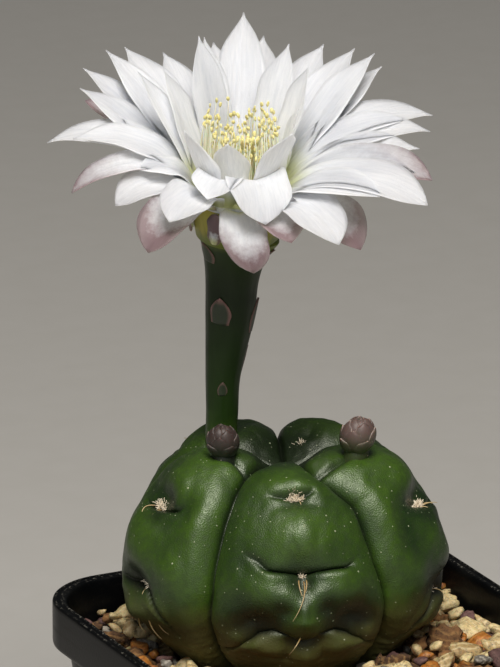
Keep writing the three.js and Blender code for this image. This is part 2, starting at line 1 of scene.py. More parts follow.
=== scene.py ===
# %% [markdown]
# # A flowering cactus in a square pot
# This lesson dresses the plain solids of a small potted Gymnocalycium denudatum with finer meshes and
# procedural materials. Read it from top to bottom, one cell at a time.
# Sizes are worked out in millimetres, and turned to Blender's metres only where a mesh is made.

# %% The solids that everything is fitted to
import math
import bmesh
import bpy
import numpy as np
from mathutils import Matrix, Vector


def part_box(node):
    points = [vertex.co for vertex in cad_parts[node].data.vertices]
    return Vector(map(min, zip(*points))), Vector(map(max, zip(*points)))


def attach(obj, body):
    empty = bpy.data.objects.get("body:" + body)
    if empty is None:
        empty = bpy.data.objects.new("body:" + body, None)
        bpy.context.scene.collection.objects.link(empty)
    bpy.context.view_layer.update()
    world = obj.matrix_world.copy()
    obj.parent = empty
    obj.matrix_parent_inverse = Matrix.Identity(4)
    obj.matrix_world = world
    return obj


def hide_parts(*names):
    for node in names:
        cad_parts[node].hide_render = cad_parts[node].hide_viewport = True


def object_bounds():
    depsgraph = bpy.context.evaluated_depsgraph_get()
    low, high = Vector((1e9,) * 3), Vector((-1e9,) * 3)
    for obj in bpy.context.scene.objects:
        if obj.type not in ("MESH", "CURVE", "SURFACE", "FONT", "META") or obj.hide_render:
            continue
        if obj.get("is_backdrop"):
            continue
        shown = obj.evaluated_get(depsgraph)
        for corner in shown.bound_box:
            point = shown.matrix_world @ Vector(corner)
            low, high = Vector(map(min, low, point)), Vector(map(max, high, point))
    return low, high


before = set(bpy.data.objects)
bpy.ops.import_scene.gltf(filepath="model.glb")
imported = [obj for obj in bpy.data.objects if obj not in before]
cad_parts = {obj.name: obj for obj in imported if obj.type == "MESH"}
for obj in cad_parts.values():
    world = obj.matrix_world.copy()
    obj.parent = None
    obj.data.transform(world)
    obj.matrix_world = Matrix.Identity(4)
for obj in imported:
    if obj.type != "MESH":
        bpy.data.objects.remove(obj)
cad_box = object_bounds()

for node in sorted(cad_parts):
    low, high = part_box(node)
    print(node, "is", [round(1000 * side, 1) for side in high - low], "mm")

# %% [markdown]
# ## Tools for meshes
# A plant has few shapes but repeats them often: sheets of points in rows and columns, and round rods.
# So two helpers make those, one gathers many small shapes into one mesh, and one turns the result into
# a piece. Values that a material wants to know, such as how far along a petal a point is, travel with
# the points as named attributes.

# %% Sheets, rods and pieces
MM = 0.001


def grid_faces(rows, columns, closed=False):
    """Four-cornered faces over points in rows and columns. Closed joins the last column to the first."""
    row, column = np.meshgrid(np.arange(rows - 1), np.arange(columns - (0 if closed else 1)), indexing="ij")
    here = row * columns + column
    beside = row * columns + (column + 1) % columns
    return np.stack([here, beside, beside + columns, here + columns], -1).reshape(-1, 4)


def joined_rims(rows, columns):
    """Faces that join the rims of two equal sheets, the second one's points after the first's."""
    count = rows * columns
    rim = np.concatenate([
        np.arange(columns), np.arange(1, rows) * columns + columns - 1,
        count - 2 - np.arange(columns - 1), np.arange(rows - 2, 0, -1) * columns])
    return np.stack([rim, rim + count, np.roll(rim, -1) + count, np.roll(rim, -1)], -1)


def unit(vectors):
    """The same directions with a length of one."""
    return vectors / np.maximum(np.linalg.norm(vectors, axis=-1, keepdims=True), 1e-9)


def rod(path, radii, sides=6, steady=(0.31, 0.17, 0.93)):
    """A round rod along a path, with a rounded end at its tip."""
    path = np.asarray(path, float)
    along = unit(np.gradient(path, axis=0))
    right = unit(np.cross(along, steady))
    over = np.cross(along, right)
    angle = np.arange(sides) / sides * 2 * np.pi
    spokes = right[:, None] * np.cos(angle)[:, None] + over[:, None] * np.sin(angle)[:, None]
    points = path[:, None] + np.asarray(radii, float)[:, None, None] * spokes
    tip = path[-1] + along[-1] * radii[-1]
    count = len(path) * sides
    last = count - sides + np.arange(sides)
    cap = np.stack([last, np.roll(last, -1), np.full(sides, count)], -1)
    share = np.append(np.repeat(np.linspace(0, 1, len(path)), sides), 1)
    return {
        "points": np.vstack([points.reshape(-1, 3), tip]),
        "faces": [grid_faces(len(path), sides, closed=True), cap],
        "Along": share,
    }


def gather(shapes):
    """Many shapes as one, each point keeping its attributes."""
    start = 0
    faces = []
    for shape in shapes:
        faces += [face + start for face in shape["faces"]]
        start += len(shape["points"])
    names = [name for name in shapes[0] if name != "faces"]
    whole = {name: np.concatenate([shape[name] for shape in shapes]) for name in names}
    whole["faces"] = faces
    return whole


def make_piece(name, shape, materials, replaces=(), flat=False):
    """A Blender object from a shape in millimetres, riding on the part and standing for its plain solids."""
    mesh = bpy.data.meshes.new(name)
    corners = [face for block in shape["faces"] for face in block.tolist()]
    mesh.from_pydata((shape["points"] * MM).tolist(), [], corners)
    for key, values in shape.items():
        if key == "material":
            mesh.polygons.foreach_set("material_index", values.astype(np.int32))
        elif key not in ("points", "faces"):
            store = mesh.attributes.new(key, "FLOAT", "POINT")
            store.data.foreach_set("value", values.astype(np.float32))
    mesh.polygons.foreach_set("use_smooth", [not flat] * len(mesh.polygons))
    piece = bpy.data.objects.new(name, mesh)
    bpy.context.scene.collection.objects.link(piece)
    for material in materials:
        mesh.materials.append(material)
    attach(piece, "root")
    if replaces:
        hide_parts(*replaces)
    triangles = sum(len(face) - 2 for face in corners)
    print(f"{name}: {len(mesh.vertices)} points, {triangles} triangles")
    return piece


# %% [markdown]
# ## Tools for materials
# Colours are written as people read them, in hex, and one function turns them to the linear values that
# the shaders take. Another adds a node, sets what is a plain value and links what is another node's output.

# %% Colours and nodes
def linear(colour):
    """An sRGB hex colour as linear red, green, blue and alpha."""
    shares = [int(colour[place:place + 2], 16) / 255 for place in (1, 3, 5)]
    return [s / 12.92 if s <= 0.04045 else ((s + 0.055) / 1.055) ** 2.4 for s in shares] + [1.0]


def add_node(tree, kind, inputs=None, stops=None, **settings):
    """One node with its settings, its values and links, and the colours along it where it is a ramp."""
    node = tree.nodes.new(kind)
    for name, value in settings.items():
        setattr(node, name, value)
    for socket, value in (inputs or {}).items():
        if isinstance(value, bpy.types.NodeSocket):
            tree.links.new(value, node.inputs[socket])
        elif isinstance(value, str):
            node.inputs[socket].default_value = linear(value)
        else:
            node.inputs[socket].default_value = value
    for place, (position, colour) in enumerate(stops or []):
        ramp = node.color_ramp.elements
        stop = ramp[place] if place < 2 else ramp.new(position)
        stop.position = position
        stop.color = linear(colour) if isinstance(colour, str) else [colour, colour, colour, 1]
    return node


def add_math(tree, operation, *values):
    """One step of arithmetic on plain values or other nodes' outputs."""
    return add_node(tree, "ShaderNodeMath", dict(enumerate(values)), operation=operation)


def add_range(tree, *values):
    """A value stretched from one range to another: the value, its old range and its new range."""
    return add_node(tree, "ShaderNodeMapRange", dict(enumerate(values)))


def add_noise(tree, place, scale, detail, roughness=0.5):
    """Cloudy noise with so many clouds to the metre and so many finer layers."""
    return add_node(tree, "ShaderNodeTexNoise", {
        "Vector": place, "Scale": scale, "Detail": detail, "Roughness": roughness})


def read_attribute(tree, name):
    """A named value that each point of the mesh carries."""
    return add_node(tree, "ShaderNodeAttribute", attribute_name=name).outputs["Fac"]


def object_place(tree):
    """Where a point is on the object, in metres."""
    return add_node(tree, "ShaderNodeTexCoord").outputs["Object"]


def start_material(name, **values):
    """A material with one Principled shader and the values that are even over the surface."""
    material = bpy.data.materials.new(name)
    material.use_nodes = True
    shader = material.node_tree.nodes["Principled BSDF"]
    for socket, value in values.items():
        shader.inputs[socket.replace("_", " ")].default_value = value
    return material, material.node_tree, shader


def add_bumps(tree, shader, height, strength, distance):
    """Fine bumps that a pattern's height raises on a shader's surface, by a distance in metres."""
    bump = add_node(tree, "ShaderNodeBump", {"Height": height, "Strength": strength, "Distance": distance})
    tree.links.new(bump.outputs[0], shader.inputs["Normal"])


def blend_colours(tree, share, first, second):
    """The output of a node that goes from the first colour to the second as the share goes from 0 to 1."""
    node = add_node(tree, "ShaderNodeMix", {0: share, 6: first, 7: second}, data_type="RGBA")
    return node.outputs[2]


# %% [markdown]
# ## Where things are on the plant
# The plant doesn't stand square in its pot: its front rib points a little to the left of the pot's front.
# Its places are given as right, front and up from its axis at gravel level, as one sees it from the front.

# %% The plant's own directions
PLANT_FOOT = np.array([-1.0, 10.0, 70.0])
GRAVEL_LEVEL = 70.0
FRONT_BEARING = math.radians(-116.6)
FRONTWARD = np.array([math.cos(FRONT_BEARING), math.sin(FRONT_BEARING), 0])
UPWARD = np.array([0, 0, 1.0])
RIGHTWARD = np.cross(UPWARD, FRONTWARD)


def plant_place(right, front, up):
    """A place, or many, in millimetres in the pot's frame."""
    right, front, up = (np.asarray(value, float)[..., None] for value in (right, front, up))
    return PLANT_FOOT + right * RIGHTWARD + front * FRONTWARD + up * UPWARD


print("the front rib faces", np.round(FRONTWARD, 3))

# %% [markdown]
# ## The pot
# A square nursery pot is injection-moulded polypropylene: a tapered wall about a millimetre thick, a collar
# that steps out round the rim, and holes in its floor. One could bevel a box, but a loft of rounded squares
# gives the taper, the collar and the lip in one go, and the shallow groove between the lip's two edges makes
# them catch the light as the thin double line that such pots show.

# %% Rounded squares from the foot over the lip to the floor inside
POT_WIDTH, POT_HEIGHT, BASE_WIDTH = 80.0, 75.0, 58.0
RIM_CORNER, BASE_CORNER = 14.0, 10.0
WALL, FLOOR, COLLAR_HEIGHT, COLLAR_STEP = 1.1, 1.6, 9.0, 1.2
CORNER_STEPS = 18


def rounded_square(half, corner, height):
    """One ring of points round a square with rounded corners."""
    ring = []
    for quarter in range(4):
        middle = (half - corner) * np.sqrt(2) * np.exp(1j * np.pi * (quarter + 0.5) / 2)
        turn = np.exp(1j * np.pi / 2 * (quarter + np.linspace(0, 1, CORNER_STEPS)))
        bend = middle + corner * turn
        ring.append(np.stack([bend.real, bend.imag, np.full(CORNER_STEPS, height)], -1))
    return np.concatenate(ring)


def wall_ring(height, inset):
    """The tapered wall's outline at a height."""
    share = height / POT_HEIGHT
    half = (BASE_WIDTH + share * (POT_WIDTH - 2 * COLLAR_STEP - BASE_WIDTH)) / 2
    return rounded_square(half - inset, BASE_CORNER + share * (RIM_CORNER - BASE_CORNER) - inset, height)


def collar_ring(height, inset):
    """The collar's outline at a height."""
    return rounded_square(POT_WIDTH / 2 - inset, RIM_CORNER - inset, height)


collar_foot = POT_HEIGHT - COLLAR_HEIGHT
FOOT_EDGE = [(0, 1.2), (0.25, 0.45), (0.9, 0.05), (1.6, 0)]
COLLAR_EDGE = [(0, 0.9), (0.1, 0.4), (0.45, 0.08), (1, 0)]
LIP_EDGES = [
    # how far below the pot's full height, how far in
    (1.1, 0), (0.55, 0.02), (0.2, 0.14), (0.03, 0.35), (0, 0.5), (0.03, 0.65), (0.24, 0.8), (0.24, 1.4),
    (0.03, 1.55), (0, 1.7), (0.03, 1.9),
]
pot_rings = [wall_ring(height, inset) for height, inset in FOOT_EDGE]
pot_rings += [wall_ring(height, 0) for height in np.linspace(4, collar_foot - 1, 8)]
pot_rings += [wall_ring(collar_foot - 0.3, -0.05)]
pot_rings += [collar_ring(collar_foot + lift, inset) for lift, inset in COLLAR_EDGE]
pot_rings += [collar_ring(POT_HEIGHT - below, inset) for below, inset in LIP_EDGES]
pot_rings += [wall_ring(POT_HEIGHT - below, WALL - out) for below, out in ((0.2, 0.2), (0.6, 0), (1.6, 0))]
pot_rings += [wall_ring(height, WALL) for height in np.linspace(collar_foot, FLOOR + 1, 6)]
pot_rings += [wall_ring(FLOOR + 0.2, WALL + 0.3), wall_ring(FLOOR, WALL + 1)]
ring_size = len(pot_rings[0])
floors = np.arange(ring_size)
pot_shape = {
    "points": np.concatenate(pot_rings),
    "faces": [grid_faces(len(pot_rings), ring_size, closed=True), floors[None, ::-1],
              floors[None] + ring_size * (len(pot_rings) - 1)],
}

# %% [markdown]
# Moulded polypropylene is dull and slightly blue in its black. Fine sparks from the mould's grain break up
# its shine, and handling and watering leave pale dust and short scuffs, most of all on the collar.

# %% Polypropylene
polypropylene, tree, shader = start_material("moulded_polypropylene", IOR=1.49, Specular_IOR_Level=0.15)
place = object_place(tree)
blotch = add_noise(tree, place, 90, 6, 0.65)
dust = add_node(tree, "ShaderNodeValToRGB", {0: blotch.outputs[0]}, [(0.42, 0.0), (0.72, 1.0)])
speck = add_node(tree, "ShaderNodeTexVoronoi", {"Vector": place, "Scale": 900, "Randomness": 1})
grit = add_node(tree, "ShaderNodeValToRGB", {0: speck.outputs[0]}, [(0.0, 0.55), (0.16, 0.0)])
stretch = add_node(tree, "ShaderNodeMapping", {"Vector": place, "Scale": (60, 60, 900)})
lines = add_noise(tree, stretch.outputs[0], 1, 4)
scuff = add_node(tree, "ShaderNodeValToRGB", {0: lines.outputs[0]}, [(0.6, 0.0), (0.78, 0.5)])
soiled = add_math(tree, "MULTIPLY", dust.outputs[0], 0.16)
spotted = add_math(tree, "MAXIMUM", grit.outputs[0], soiled.outputs[0])
worn = add_math(tree, "MAXIMUM", spotted.outputs[0], scuff.outputs[0])
faint = add_math(tree, "MULTIPLY", worn.outputs[0], 0.3)
upward = add_node(tree, "ShaderNodeSeparateXYZ", {0: place}).outputs[2]
on_lip = add_range(tree, upward, 0.0748, 0.07498)
chalk = add_noise(tree, place, 1400, 4, 0.7)
flecks = add_range(tree, chalk.outputs[0], 0.55, 0.72)
rubbed = add_math(tree, "MULTIPLY", on_lip.outputs[0], flecks.outputs[0])
colour = blend_colours(tree, faint.outputs[0], "#040506", "#55514a")
tree.links.new(blend_colours(tree, rubbed.outputs[0], colour, "#8d8a80"), shader.inputs["Base Color"])
dull = add_node(tree, "ShaderNodeMapRange", {0: worn.outputs[0], 3: 0.36, 4: 0.62})
tree.links.new(dull.outputs[0], shader.inputs["Roughness"])
mould = add_noise(tree, place, 2200, 3)
add_bumps(tree, shader, mould.outputs[0], 0.25, 0.0001)

pot = make_piece("pot_shell", pot_shape, [polypropylene], ["pot"])

# %% [markdown]
# The drain holes are cut with a Boolean modifier, since that is how one thinks of them: eight round holes
# drilled through the floor. The modifier's result then replaces the mesh, so nothing waits to be applied.

# %% Drain holes
DRAIN_RADIUS, DRAIN_RING, DRAIN_COUNT, DRAIN_SIDES = 3.0, 17.0, 8, 32
plugs = []
for hole in range(DRAIN_COUNT):
    turn = hole / DRAIN_COUNT * 2 * math.pi
    x, y = DRAIN_RING * math.cos(turn), DRAIN_RING * math.sin(turn)
    plug = rod([[x, y, -3], [x, y, 5]], [DRAIN_RADIUS, DRAIN_RADIUS], DRAIN_SIDES, steady=(1, 0, 0))
    plug["faces"].append(np.arange(DRAIN_SIDES)[None, ::-1])
    plugs.append(plug)
cutters = gather(plugs)
cutter_mesh = bpy.data.meshes.new("drain_cutters")
cutter_corners = [face for block in cutters["faces"] for face in block.tolist()]
cutter_mesh.from_pydata((cutters["points"] * MM).tolist(), [], cutter_corners)
cutter = bpy.data.objects.new("drain_cutters", cutter_mesh)
bpy.context.scene.collection.objects.link(cutter)
cut = pot.modifiers.new("drain", "BOOLEAN")
cut.operation = "DIFFERENCE"
cut.solver = "EXACT"
cut.object = cutter
drilled = bpy.data.meshes.new_from_object(pot.evaluated_get(bpy.context.evaluated_depsgraph_get()))
pot.modifiers.clear()
pot.data = drilled
bpy.data.objects.remove(cutter)
print("pot after drilling:", len(drilled.polygons), "faces")

# %% [markdown]
# ## The cactus body
# The globe is a surface of revolution that five furrows cut into broad ribs, with a fold and a chin at each
# woolly areole. Sculpting by hand would take long and couldn't be repeated, so the skin is a fine sheet of
# points in rows and columns, and each thing that grows on it is a small formula in millimetres: how far down
# the rib and how far sideways from its crest.

# %% The line from the crown to the root, and the five furrows
MERIDIAN = np.array([
    (0, 31), (4, 33), (8.5, 35.6), (14, 36.2), (19.5, 34.6), (24.2, 31), (28, 25.6), (30.6, 19.5),
    (31.4, 13.5), (30.2, 8.5), (27.4, 4.3), (24.2, 0.5), (20, -3.5), (14.5, -7.5), (8.5, -11.5),
    (3.5, -16), (0, -22),
])
FURROWS = np.array([-29.0, 42, 108, 185, 264, 331])
CRESTS = (FURROWS[1:] + FURROWS[:-1]) / 2
FURROW_DEPTH = (1.2, 4.8)
FURROW_SHARPNESS = 0.95
BODY_RADIUS, CROWN_RADIUS = 31.4, 8.0


def smooth_line(knots, steps):
    """A smooth line through its knots, with many points between each two."""
    knots = np.asarray(knots, float)
    padded = np.vstack([knots[:1], knots, knots[-1:]])
    share = np.linspace(0, 1, steps, endpoint=False)[:, None]
    spans = []
    for before, start, end, after in zip(padded, padded[1:], padded[2:], padded[3:]):
        leave, arrive = (end - before) / 2, (after - start) / 2
        spans.append((2 * start - 2 * end + leave + arrive) * share ** 3
                     + (3 * end - 3 * start - 2 * leave - arrive) * share ** 2 + leave * share + start)
    return np.vstack([*spans, knots[-1:]])


profile = smooth_line(MERIDIAN, 60)
profile_run = np.append(0, np.cumsum(np.linalg.norm(np.diff(profile, axis=0), axis=1)))
PROFILE_LENGTH = profile_run[-1]


def on_profile(run):
    """Radius, height and outward direction at a run of millimetres down the meridian."""
    run = np.asarray(run, float)
    radius, height = (np.interp(run, profile_run, profile[:, axis]) for axis in (0, 1))
    ahead = [np.interp(run + 0.05, profile_run, profile[:, axis]) for axis in (0, 1)]
    behind = [np.interp(run - 0.05, profile_run, profile[:, axis]) for axis in (0, 1)]
    fall = unit(np.stack([ahead[0] - behind[0], ahead[1] - behind[1]], -1))
    return radius, height, -fall[..., 1], fall[..., 0]


def run_at_height(height):
    """How far down the meridian it has fallen to a height, past the crown."""
    below = profile_run > 0.2 * PROFILE_LENGTH
    return np.interp(-height, -profile[below, 1], profile_run[below])


def rib_of(turn):
    """The rib that a turn is on, its place across it from -1 to 1, and its angle from the crest."""
    turn = (np.asarray(turn, float) - FURROWS[0]) % 360 + FURROWS[0]
    rib = np.clip(np.searchsorted(FURROWS, turn, side="right") - 1, 0, len(CRESTS) - 1)
    half = (FURROWS[1:] - FURROWS[:-1])[rib] / 2
    return rib, (turn - CRESTS[rib]) / half, np.radians(turn - CRESTS[rib])


print("meridian:", round(PROFILE_LENGTH, 1), "mm; rib crests at", CRESTS)

# %% [markdown]
# Each areole sits in a pit. Above it the old tubercle droops over a crease, and below it the next one swells
# like a chin. The places of the areoles on the three ribs that one sees from the front follow the plant, and
# those behind follow their spacing.

# %% Areoles, creases and chins
AREOLE_HEIGHTS = [(33.2, 21, 8), (28.8, 12), (34, 23, 9), (31.5, 18), (29.9, 15)]
AREOLES = [(rib, run_at_height(height)) for rib, heights in enumerate(AREOLE_HEIGHTS) for height in heights]
BACK_RIBS = (2, 3)
PIT = {"depth": 1.1, "wide": 3, "tall": 2.4}
SLIT = {"depth": 1.1, "wide": 7, "tall": 2.4}
CHIN = {"height": 0.9, "wide": 7, "tall": 3.6, "offset": 6}


def hump(distance, width):
    """A soft hill that is one high in its middle."""
    return np.exp(-(distance / width) ** 2)


def main_relief(rib, side, run):
    """How far the main forms stand out of the plain rib."""
    out = np.zeros(np.broadcast(rib, side, run).shape)
    for areole_rib, areole_run in AREOLES:
        down = run - areole_run
        here = rib == areole_rib
        pit = PIT["depth"] * hump(side, PIT["wide"]) * hump(down, PIT["tall"])
        slit = SLIT["depth"] * hump(side, SLIT["wide"]) * hump(down, SLIT["tall"])
        chins = sum(hump(down + sign * CHIN["offset"], CHIN["tall"]) for sign in (-1, 1))
        out += here * (CHIN["height"] * hump(side, CHIN["wide"]) * chins - pit - slit)
    return out


FURROW_WANDER = {
    # which furrow, then its runs down the meridian and the degrees that it strays at each
    0: [(0, 0), (15, -2), (23.5, -0.5), (44, -1), (52, -3), (60, -5)],
    1: [(0, -12), (11, -24), (15.5, -22), (20, -12), (25, -4.5), (38, -2.5), (44.5, 0.5), (53, 3), (60, 8)],
}
WANDER_REACH = 34


def wandered(turn, run):
    """Turns after the two furrows beside the front rib have strayed from their meridians."""
    strayed = turn + np.zeros(np.broadcast(turn, run).shape)
    for furrow, line in FURROW_WANDER.items():
        runs, degrees = zip(*line)
        away = np.abs((turn - FURROWS[furrow] + 180) % 360 - 180)
        strayed = strayed + np.interp(run, runs, degrees) * np.clip(1 - away / WANDER_REACH, 0, 1)
    return strayed


def body_surface(turn, run, swell=0.0, fine=None):
    """Points of the skin in millimetres. Fine relief is added where it is given."""
    radius, height, out_radial, out_up = on_profile(run)
    rib, across, angle = rib_of(turn)
    round_off = 1 - np.sqrt(1 - (FURROW_SHARPNESS * across) ** 2)
    valley = round_off / (1 - math.sqrt(1 - FURROW_SHARPNESS ** 2))
    deepest = FURROW_DEPTH[0] + (FURROW_DEPTH[1] - FURROW_DEPTH[0]) * radius / BODY_RADIUS
    near_axis = np.minimum(1, radius / CROWN_RADIUS)
    out = near_axis * (main_relief(rib, angle * radius, run) - deepest * valley) + swell
    if fine is not None:
        out = out + near_axis * fine
    reach = np.maximum(0, radius + out_radial * out)
    facing = np.radians(wandered(turn, run))
    return plant_place(reach * np.sin(facing), reach * np.cos(facing), height + out_up * out)


print(len(AREOLES), "areoles")

# %% [markdown]
# The finer forms are lists of two kinds. A fold is a line across a rib: the skin sinks along it, swells a
# little above it and more below it, and droops over it from above, which gives the dark slit with its bright
# lower lip. A swelling is a single soft hill or hollow. Each is placed by its rib, millimetres sideways and
# millimetres down.

# %% Folds and swellings
FOLDS = [
    {"rib": 0, "depth": 0.9, "above": 0, "below": 0.1, "droop": 0.5, "line": [
        (-6.4, 23), (-3.4, 22.8), (-0.4, 22.7), (2.4, 22.4), (5.2, 22)]},
    {"rib": 0, "depth": 0.3, "above": 0.15, "below": 0, "droop": 0.1, "line": [
        (1, 22), (3, 21.3), (4.6, 20.6)]},
    {"rib": 0, "depth": 1.2, "above": 0.1, "below": 0.5, "droop": 1.2, "line": [
        (-8.6, 36.6), (-6.5, 36.8), (-3.4, 37), (0, 37.4), (2.9, 37), (6.3, 36.8), (11.8, 36.9)]},
    {"rib": 0, "depth": 0.6, "above": 0.1, "below": 0.25, "droop": 0.2, "line": [
        (-11.4, 34.4), (-10, 34.8), (-8.6, 35.5), (-7, 36.1), (-5, 36.5)]},
    {"rib": 0, "depth": 1.2, "above": 0.2, "below": 0.2, "droop": 1.4, "line": [
        (-15, 60), (-12, 55.6), (-10.4, 53.2), (-8, 50.4), (-5.7, 49.2), (-3, 49.4), (0, 51.6), (3, 49.4),
        (5.7, 49.4), (8.4, 51), (11, 53.4), (15, 59)]},
    {"rib": 4, "depth": 0.9, "above": 0.3, "below": 0.2, "droop": 0.9, "line": [
        (-7, 31), (-3.9, 30.6), (-1.6, 30.2), (1.6, 29.6), (6.4, 28.6)]},
    {"rib": 4, "depth": 0.7, "above": 0.3, "below": 0.3, "droop": 0.6, "line": [
        (-9, 46.6), (-3, 45.8), (1, 45.4), (3.3, 45), (6, 47.5), (8.5, 51.2), (9.8, 55.5), (11, 62)]},
    {"rib": 4, "depth": 0.9, "above": 0.15, "below": 0.2, "droop": 0.1, "line": [
        (-4, 16.4), (0, 15.4), (3, 14.9), (6, 14.8), (10, 15.4)]},
    {"rib": 1, "depth": 0.9, "above": 0.3, "below": 0.2, "droop": 0.9, "line": [
        (-3, 29), (-0.7, 30.3), (1.1, 31.3), (4, 32.4), (8, 33)]},
    {"rib": 1, "depth": 1.1, "above": 0.3, "below": 0.3, "droop": 1, "line": [
        (-12.5, 60), (-8.2, 54), (-4.2, 50.2), (-1.6, 49.3), (5.8, 51)]},
    {"rib": 1, "depth": 0.9, "above": 0.15, "below": 0.2, "droop": 0.1, "line": [
        (-13, 17), (-8, 16.2), (-5.1, 15.8), (-2, 15.6), (2, 16), (5, 17)]},
]
FOLDS += [
    {"rib": rib, "depth": 1.1, "above": 0.3, "below": 0.4, "droop": 0.8, "line": [
        (-9, run - 2.4), (0, run), (9, run - 2.2)]}
    for rib, run in AREOLES if rib in BACK_RIBS and run > 25
]
SWELLINGS = [
    # rib, sideways, down, wide, tall, height
    (0, 0, 22.6, 6.5, 2.8, 1.9), (0, -4.6, 23.4, 2.2, 1.8, 0.3), (0, 4.6, 23, 2.2, 1.8, 0.35),
    (0, 0, 17.4, 7, 3.2, -0.2), (0, 0, 20.4, 1.6, 1.8, 0.3), (0, 0, 20.6, 7, 1.6, 0.35),
    (0, -0.4, 23.2, 1.8, 0.9, -0.4),
    (0, 0, 26.4, 5, 2, 0.3), (0, 0.4, 28.4, 1.8, 3.2, 0.45),
    (0, 0, 31, 9, 4.5, 0.5), (0, 0, 36, 8, 1.5, -0.5),
    (0, -1.8, 34.2, 0.5, 2.8, -0.45), (0, 2.9, 33.6, 0.5, 2.8, -0.35), (0, -5.2, 31, 1.4, 5, -0.15),
    (0, -7.2, 40.6, 5.8, 3.2, 1.2), (0, 7.6, 40.6, 5.8, 3.2, 1.2), (0, 0.1, 41.2, 1.7, 3.2, -1.2),
    (0, -3.4, 45.4, 2.2, 2.2, -1.2), (0, -7.4, 48, 4.4, 2.6, -1.9), (0, 4, 45.2, 2.4, 2.4, -1.3),
    (0, 8.4, 47.6, 4.8, 2.8, -2.1), (0, 12.5, 50.4, 3, 3, -1.2), (0, -11.4, 51, 2.6, 2.6, -0.9),
    (0, 0, 45, 0.7, 1.6, 0.7), (0, -0.2, 46.8, 2.6, 1, 0.6), (0, 0, 48.6, 2.8, 1.8, 0.8),
    (0, 0, 50.4, 1.2, 1.2, 0.3),
    (0, -6.6, 53.4, 5, 2.2, 1.6), (0, 6.6, 53.4, 5, 2.2, 1.6), (0, 0.6, 55, 2, 2.2, 1),
    (0, -2.8, 55.4, 0.7, 2.8, -0.7), (0, 3.6, 55.2, 0.7, 2.8, -0.7), (0, -5.4, 56.4, 3, 0.7, -0.4),
    (4, 3.3, 24.8, 4.4, 3.4, 1), (4, 10.6, 29, 3, 8, 0.6), (4, 9.9, 41.4, 3.4, 4.6, 1),
    (4, 5.2, 10.8, 2.6, 2.4, 1), (4, 0.9, 18.8, 5, 2.4, 1), (4, -3.4, 36.5, 6, 4, 0.8),
    (4, -0.8, 51, 4, 2.4, 0.9), (4, 5.4, 57.5, 6, 2.4, 0.8), (4, 2.6, 32.6, 4, 1.6, -0.4),
    (1, -5, 11.4, 2.8, 2.6, 1), (1, -1.6, 19.8, 5, 2.8, 1.2), (1, -10.4, 28, 3, 8, 0.6),
    (1, 0, 42, 14, 14, -1), (1, -1.2, 25, 5, 3.6, 0.7), (1, -0.2, 40, 5, 4.5, 0.7),
    (1, -10.2, 44, 3, 5, 0.5), (1, -3.2, 55, 5, 2.4, 0.7),
    (2, 0.3, 13.2, 4, 3.4, 0.8), (2, 0.3, 9.6, 2.6, 1.4, -0.5), (2, 0, 17.6, 5, 1.8, -0.5),
    (3, 0, 11, 4.5, 3.2, 0.8), (3, 0, 20, 5, 4, 0.5),
]
# Painted shade: how far the skin's colour is darkened at the crown, which the flower shades, and in the
# listed folds and hollows.
CROWN_PAINTED_SHADE = 0.85
PAINTED_SHADE_SPOTS = [
    # rib, sideways, down, wide, tall, share
    (0, -8.6, 46.6, 6, 4, 0.9), (0, 9, 46.6, 6, 4, 0.9), (0, -4.6, 44.2, 3, 3, 0.7), (0, 4.6, 44, 3, 3, 0.7),
    (0, -13, 49.5, 4, 3.4, 0.5), (0, 14, 49.5, 4, 3.4, 0.5), (0, 0, 49, 3, 2.6, 0.4),
    (0, 0, 43.4, 1.2, 3, 0.6),
    (1, 5, 36, 5, 5, 0.7), (1, 3, 44, 8, 5, 0.5), (1, 1, 52, 9, 3, 0.4), (4, -6, 24, 4, 5, 0.35),
    (4, 1, 31.5, 3, 2.4, 0.5), (4, 0, 43.5, 4, 4, 0.5), (4, 6, 54, 9, 3, 0.4), (1, 0.6, 33.4, 3, 2.4, 0.5),
]


def painted_shade_share(rib, side, run):
    """How much painted shade darkens the skin: at the crown, where the flower shades it, and in the folds
    that light seldom reaches.
    """
    share = CROWN_PAINTED_SHADE * np.clip((17 - run) / 9, 0, 1)
    for dark_rib, sideways, down, wide, tall, most in PAINTED_SHADE_SPOTS:
        here = most * (rib == dark_rib)
        share = np.maximum(share, here * hump(side - sideways, wide) * hump(run - down, tall))
    return share


def fold_reach(fold, rib, side, run):
    """How far below a fold's line each point is, and how much of the fold it feels, from 0 to 1."""
    sides, runs = (np.array(values, float) for values in zip(*fold["line"]))
    down = run - np.interp(side, sides, runs)
    ends = np.clip((side - sides[0]) / 3, 0, 1) * np.clip((sides[-1] - side) / 3, 0, 1)
    return down, ends * ends * (3 - 2 * ends) * (rib == fold["rib"])


def fine_relief(rib, side, run):
    """How high the folds and swellings stand, how far the skin slides down, and how creased it is."""
    height = np.zeros(side.shape)
    slide = np.zeros(side.shape)
    crease = np.zeros(side.shape)
    for fold in FOLDS:
        down, felt = fold_reach(fold, rib, side, run)
        height -= fold["depth"] * felt * hump(down, 0.75)
        height += felt * (fold["above"] * hump(down + 2.4, 1.9) + fold["below"] * hump(down - 1.7, 1.2))
        slide += fold["droop"] * felt * hump(down + 0.8, 1.1)
        crease = np.maximum(crease, felt * hump(down, 0.9))
    for swelling_rib, sideways, down, wide, tall, high in SWELLINGS:
        height += high * (rib == swelling_rib) * hump(side - sideways, wide) * hump(run - down, tall)
    return height, slide, crease


print(len(FOLDS), "folds,", len(SWELLINGS), "swellings")

# %% [markdown]
# Skin that is only smooth looks like wax, so slow waves of a few millimetres and small wrinkles near the old,
# corky foot are added from sums of sines with seeded directions. Columns of points stand closer at the
# furrows, where the skin turns fastest.

# %% The skin as one sheet
SKIN_COLUMNS, SKIN_ROWS = 66, 250
SKIN_FOOT = -6.0
GROOVE_DEPTH, GROOVE_WIDTH = 0.9, 0.45
FLANK_HEIGHTS = np.array([0.3, 0.9, 0.7, 0.7, 0.9])
FLANK_PLACE, FLANK_WIDTH = 3.4, 3.2
dice = np.random.default_rng(7)


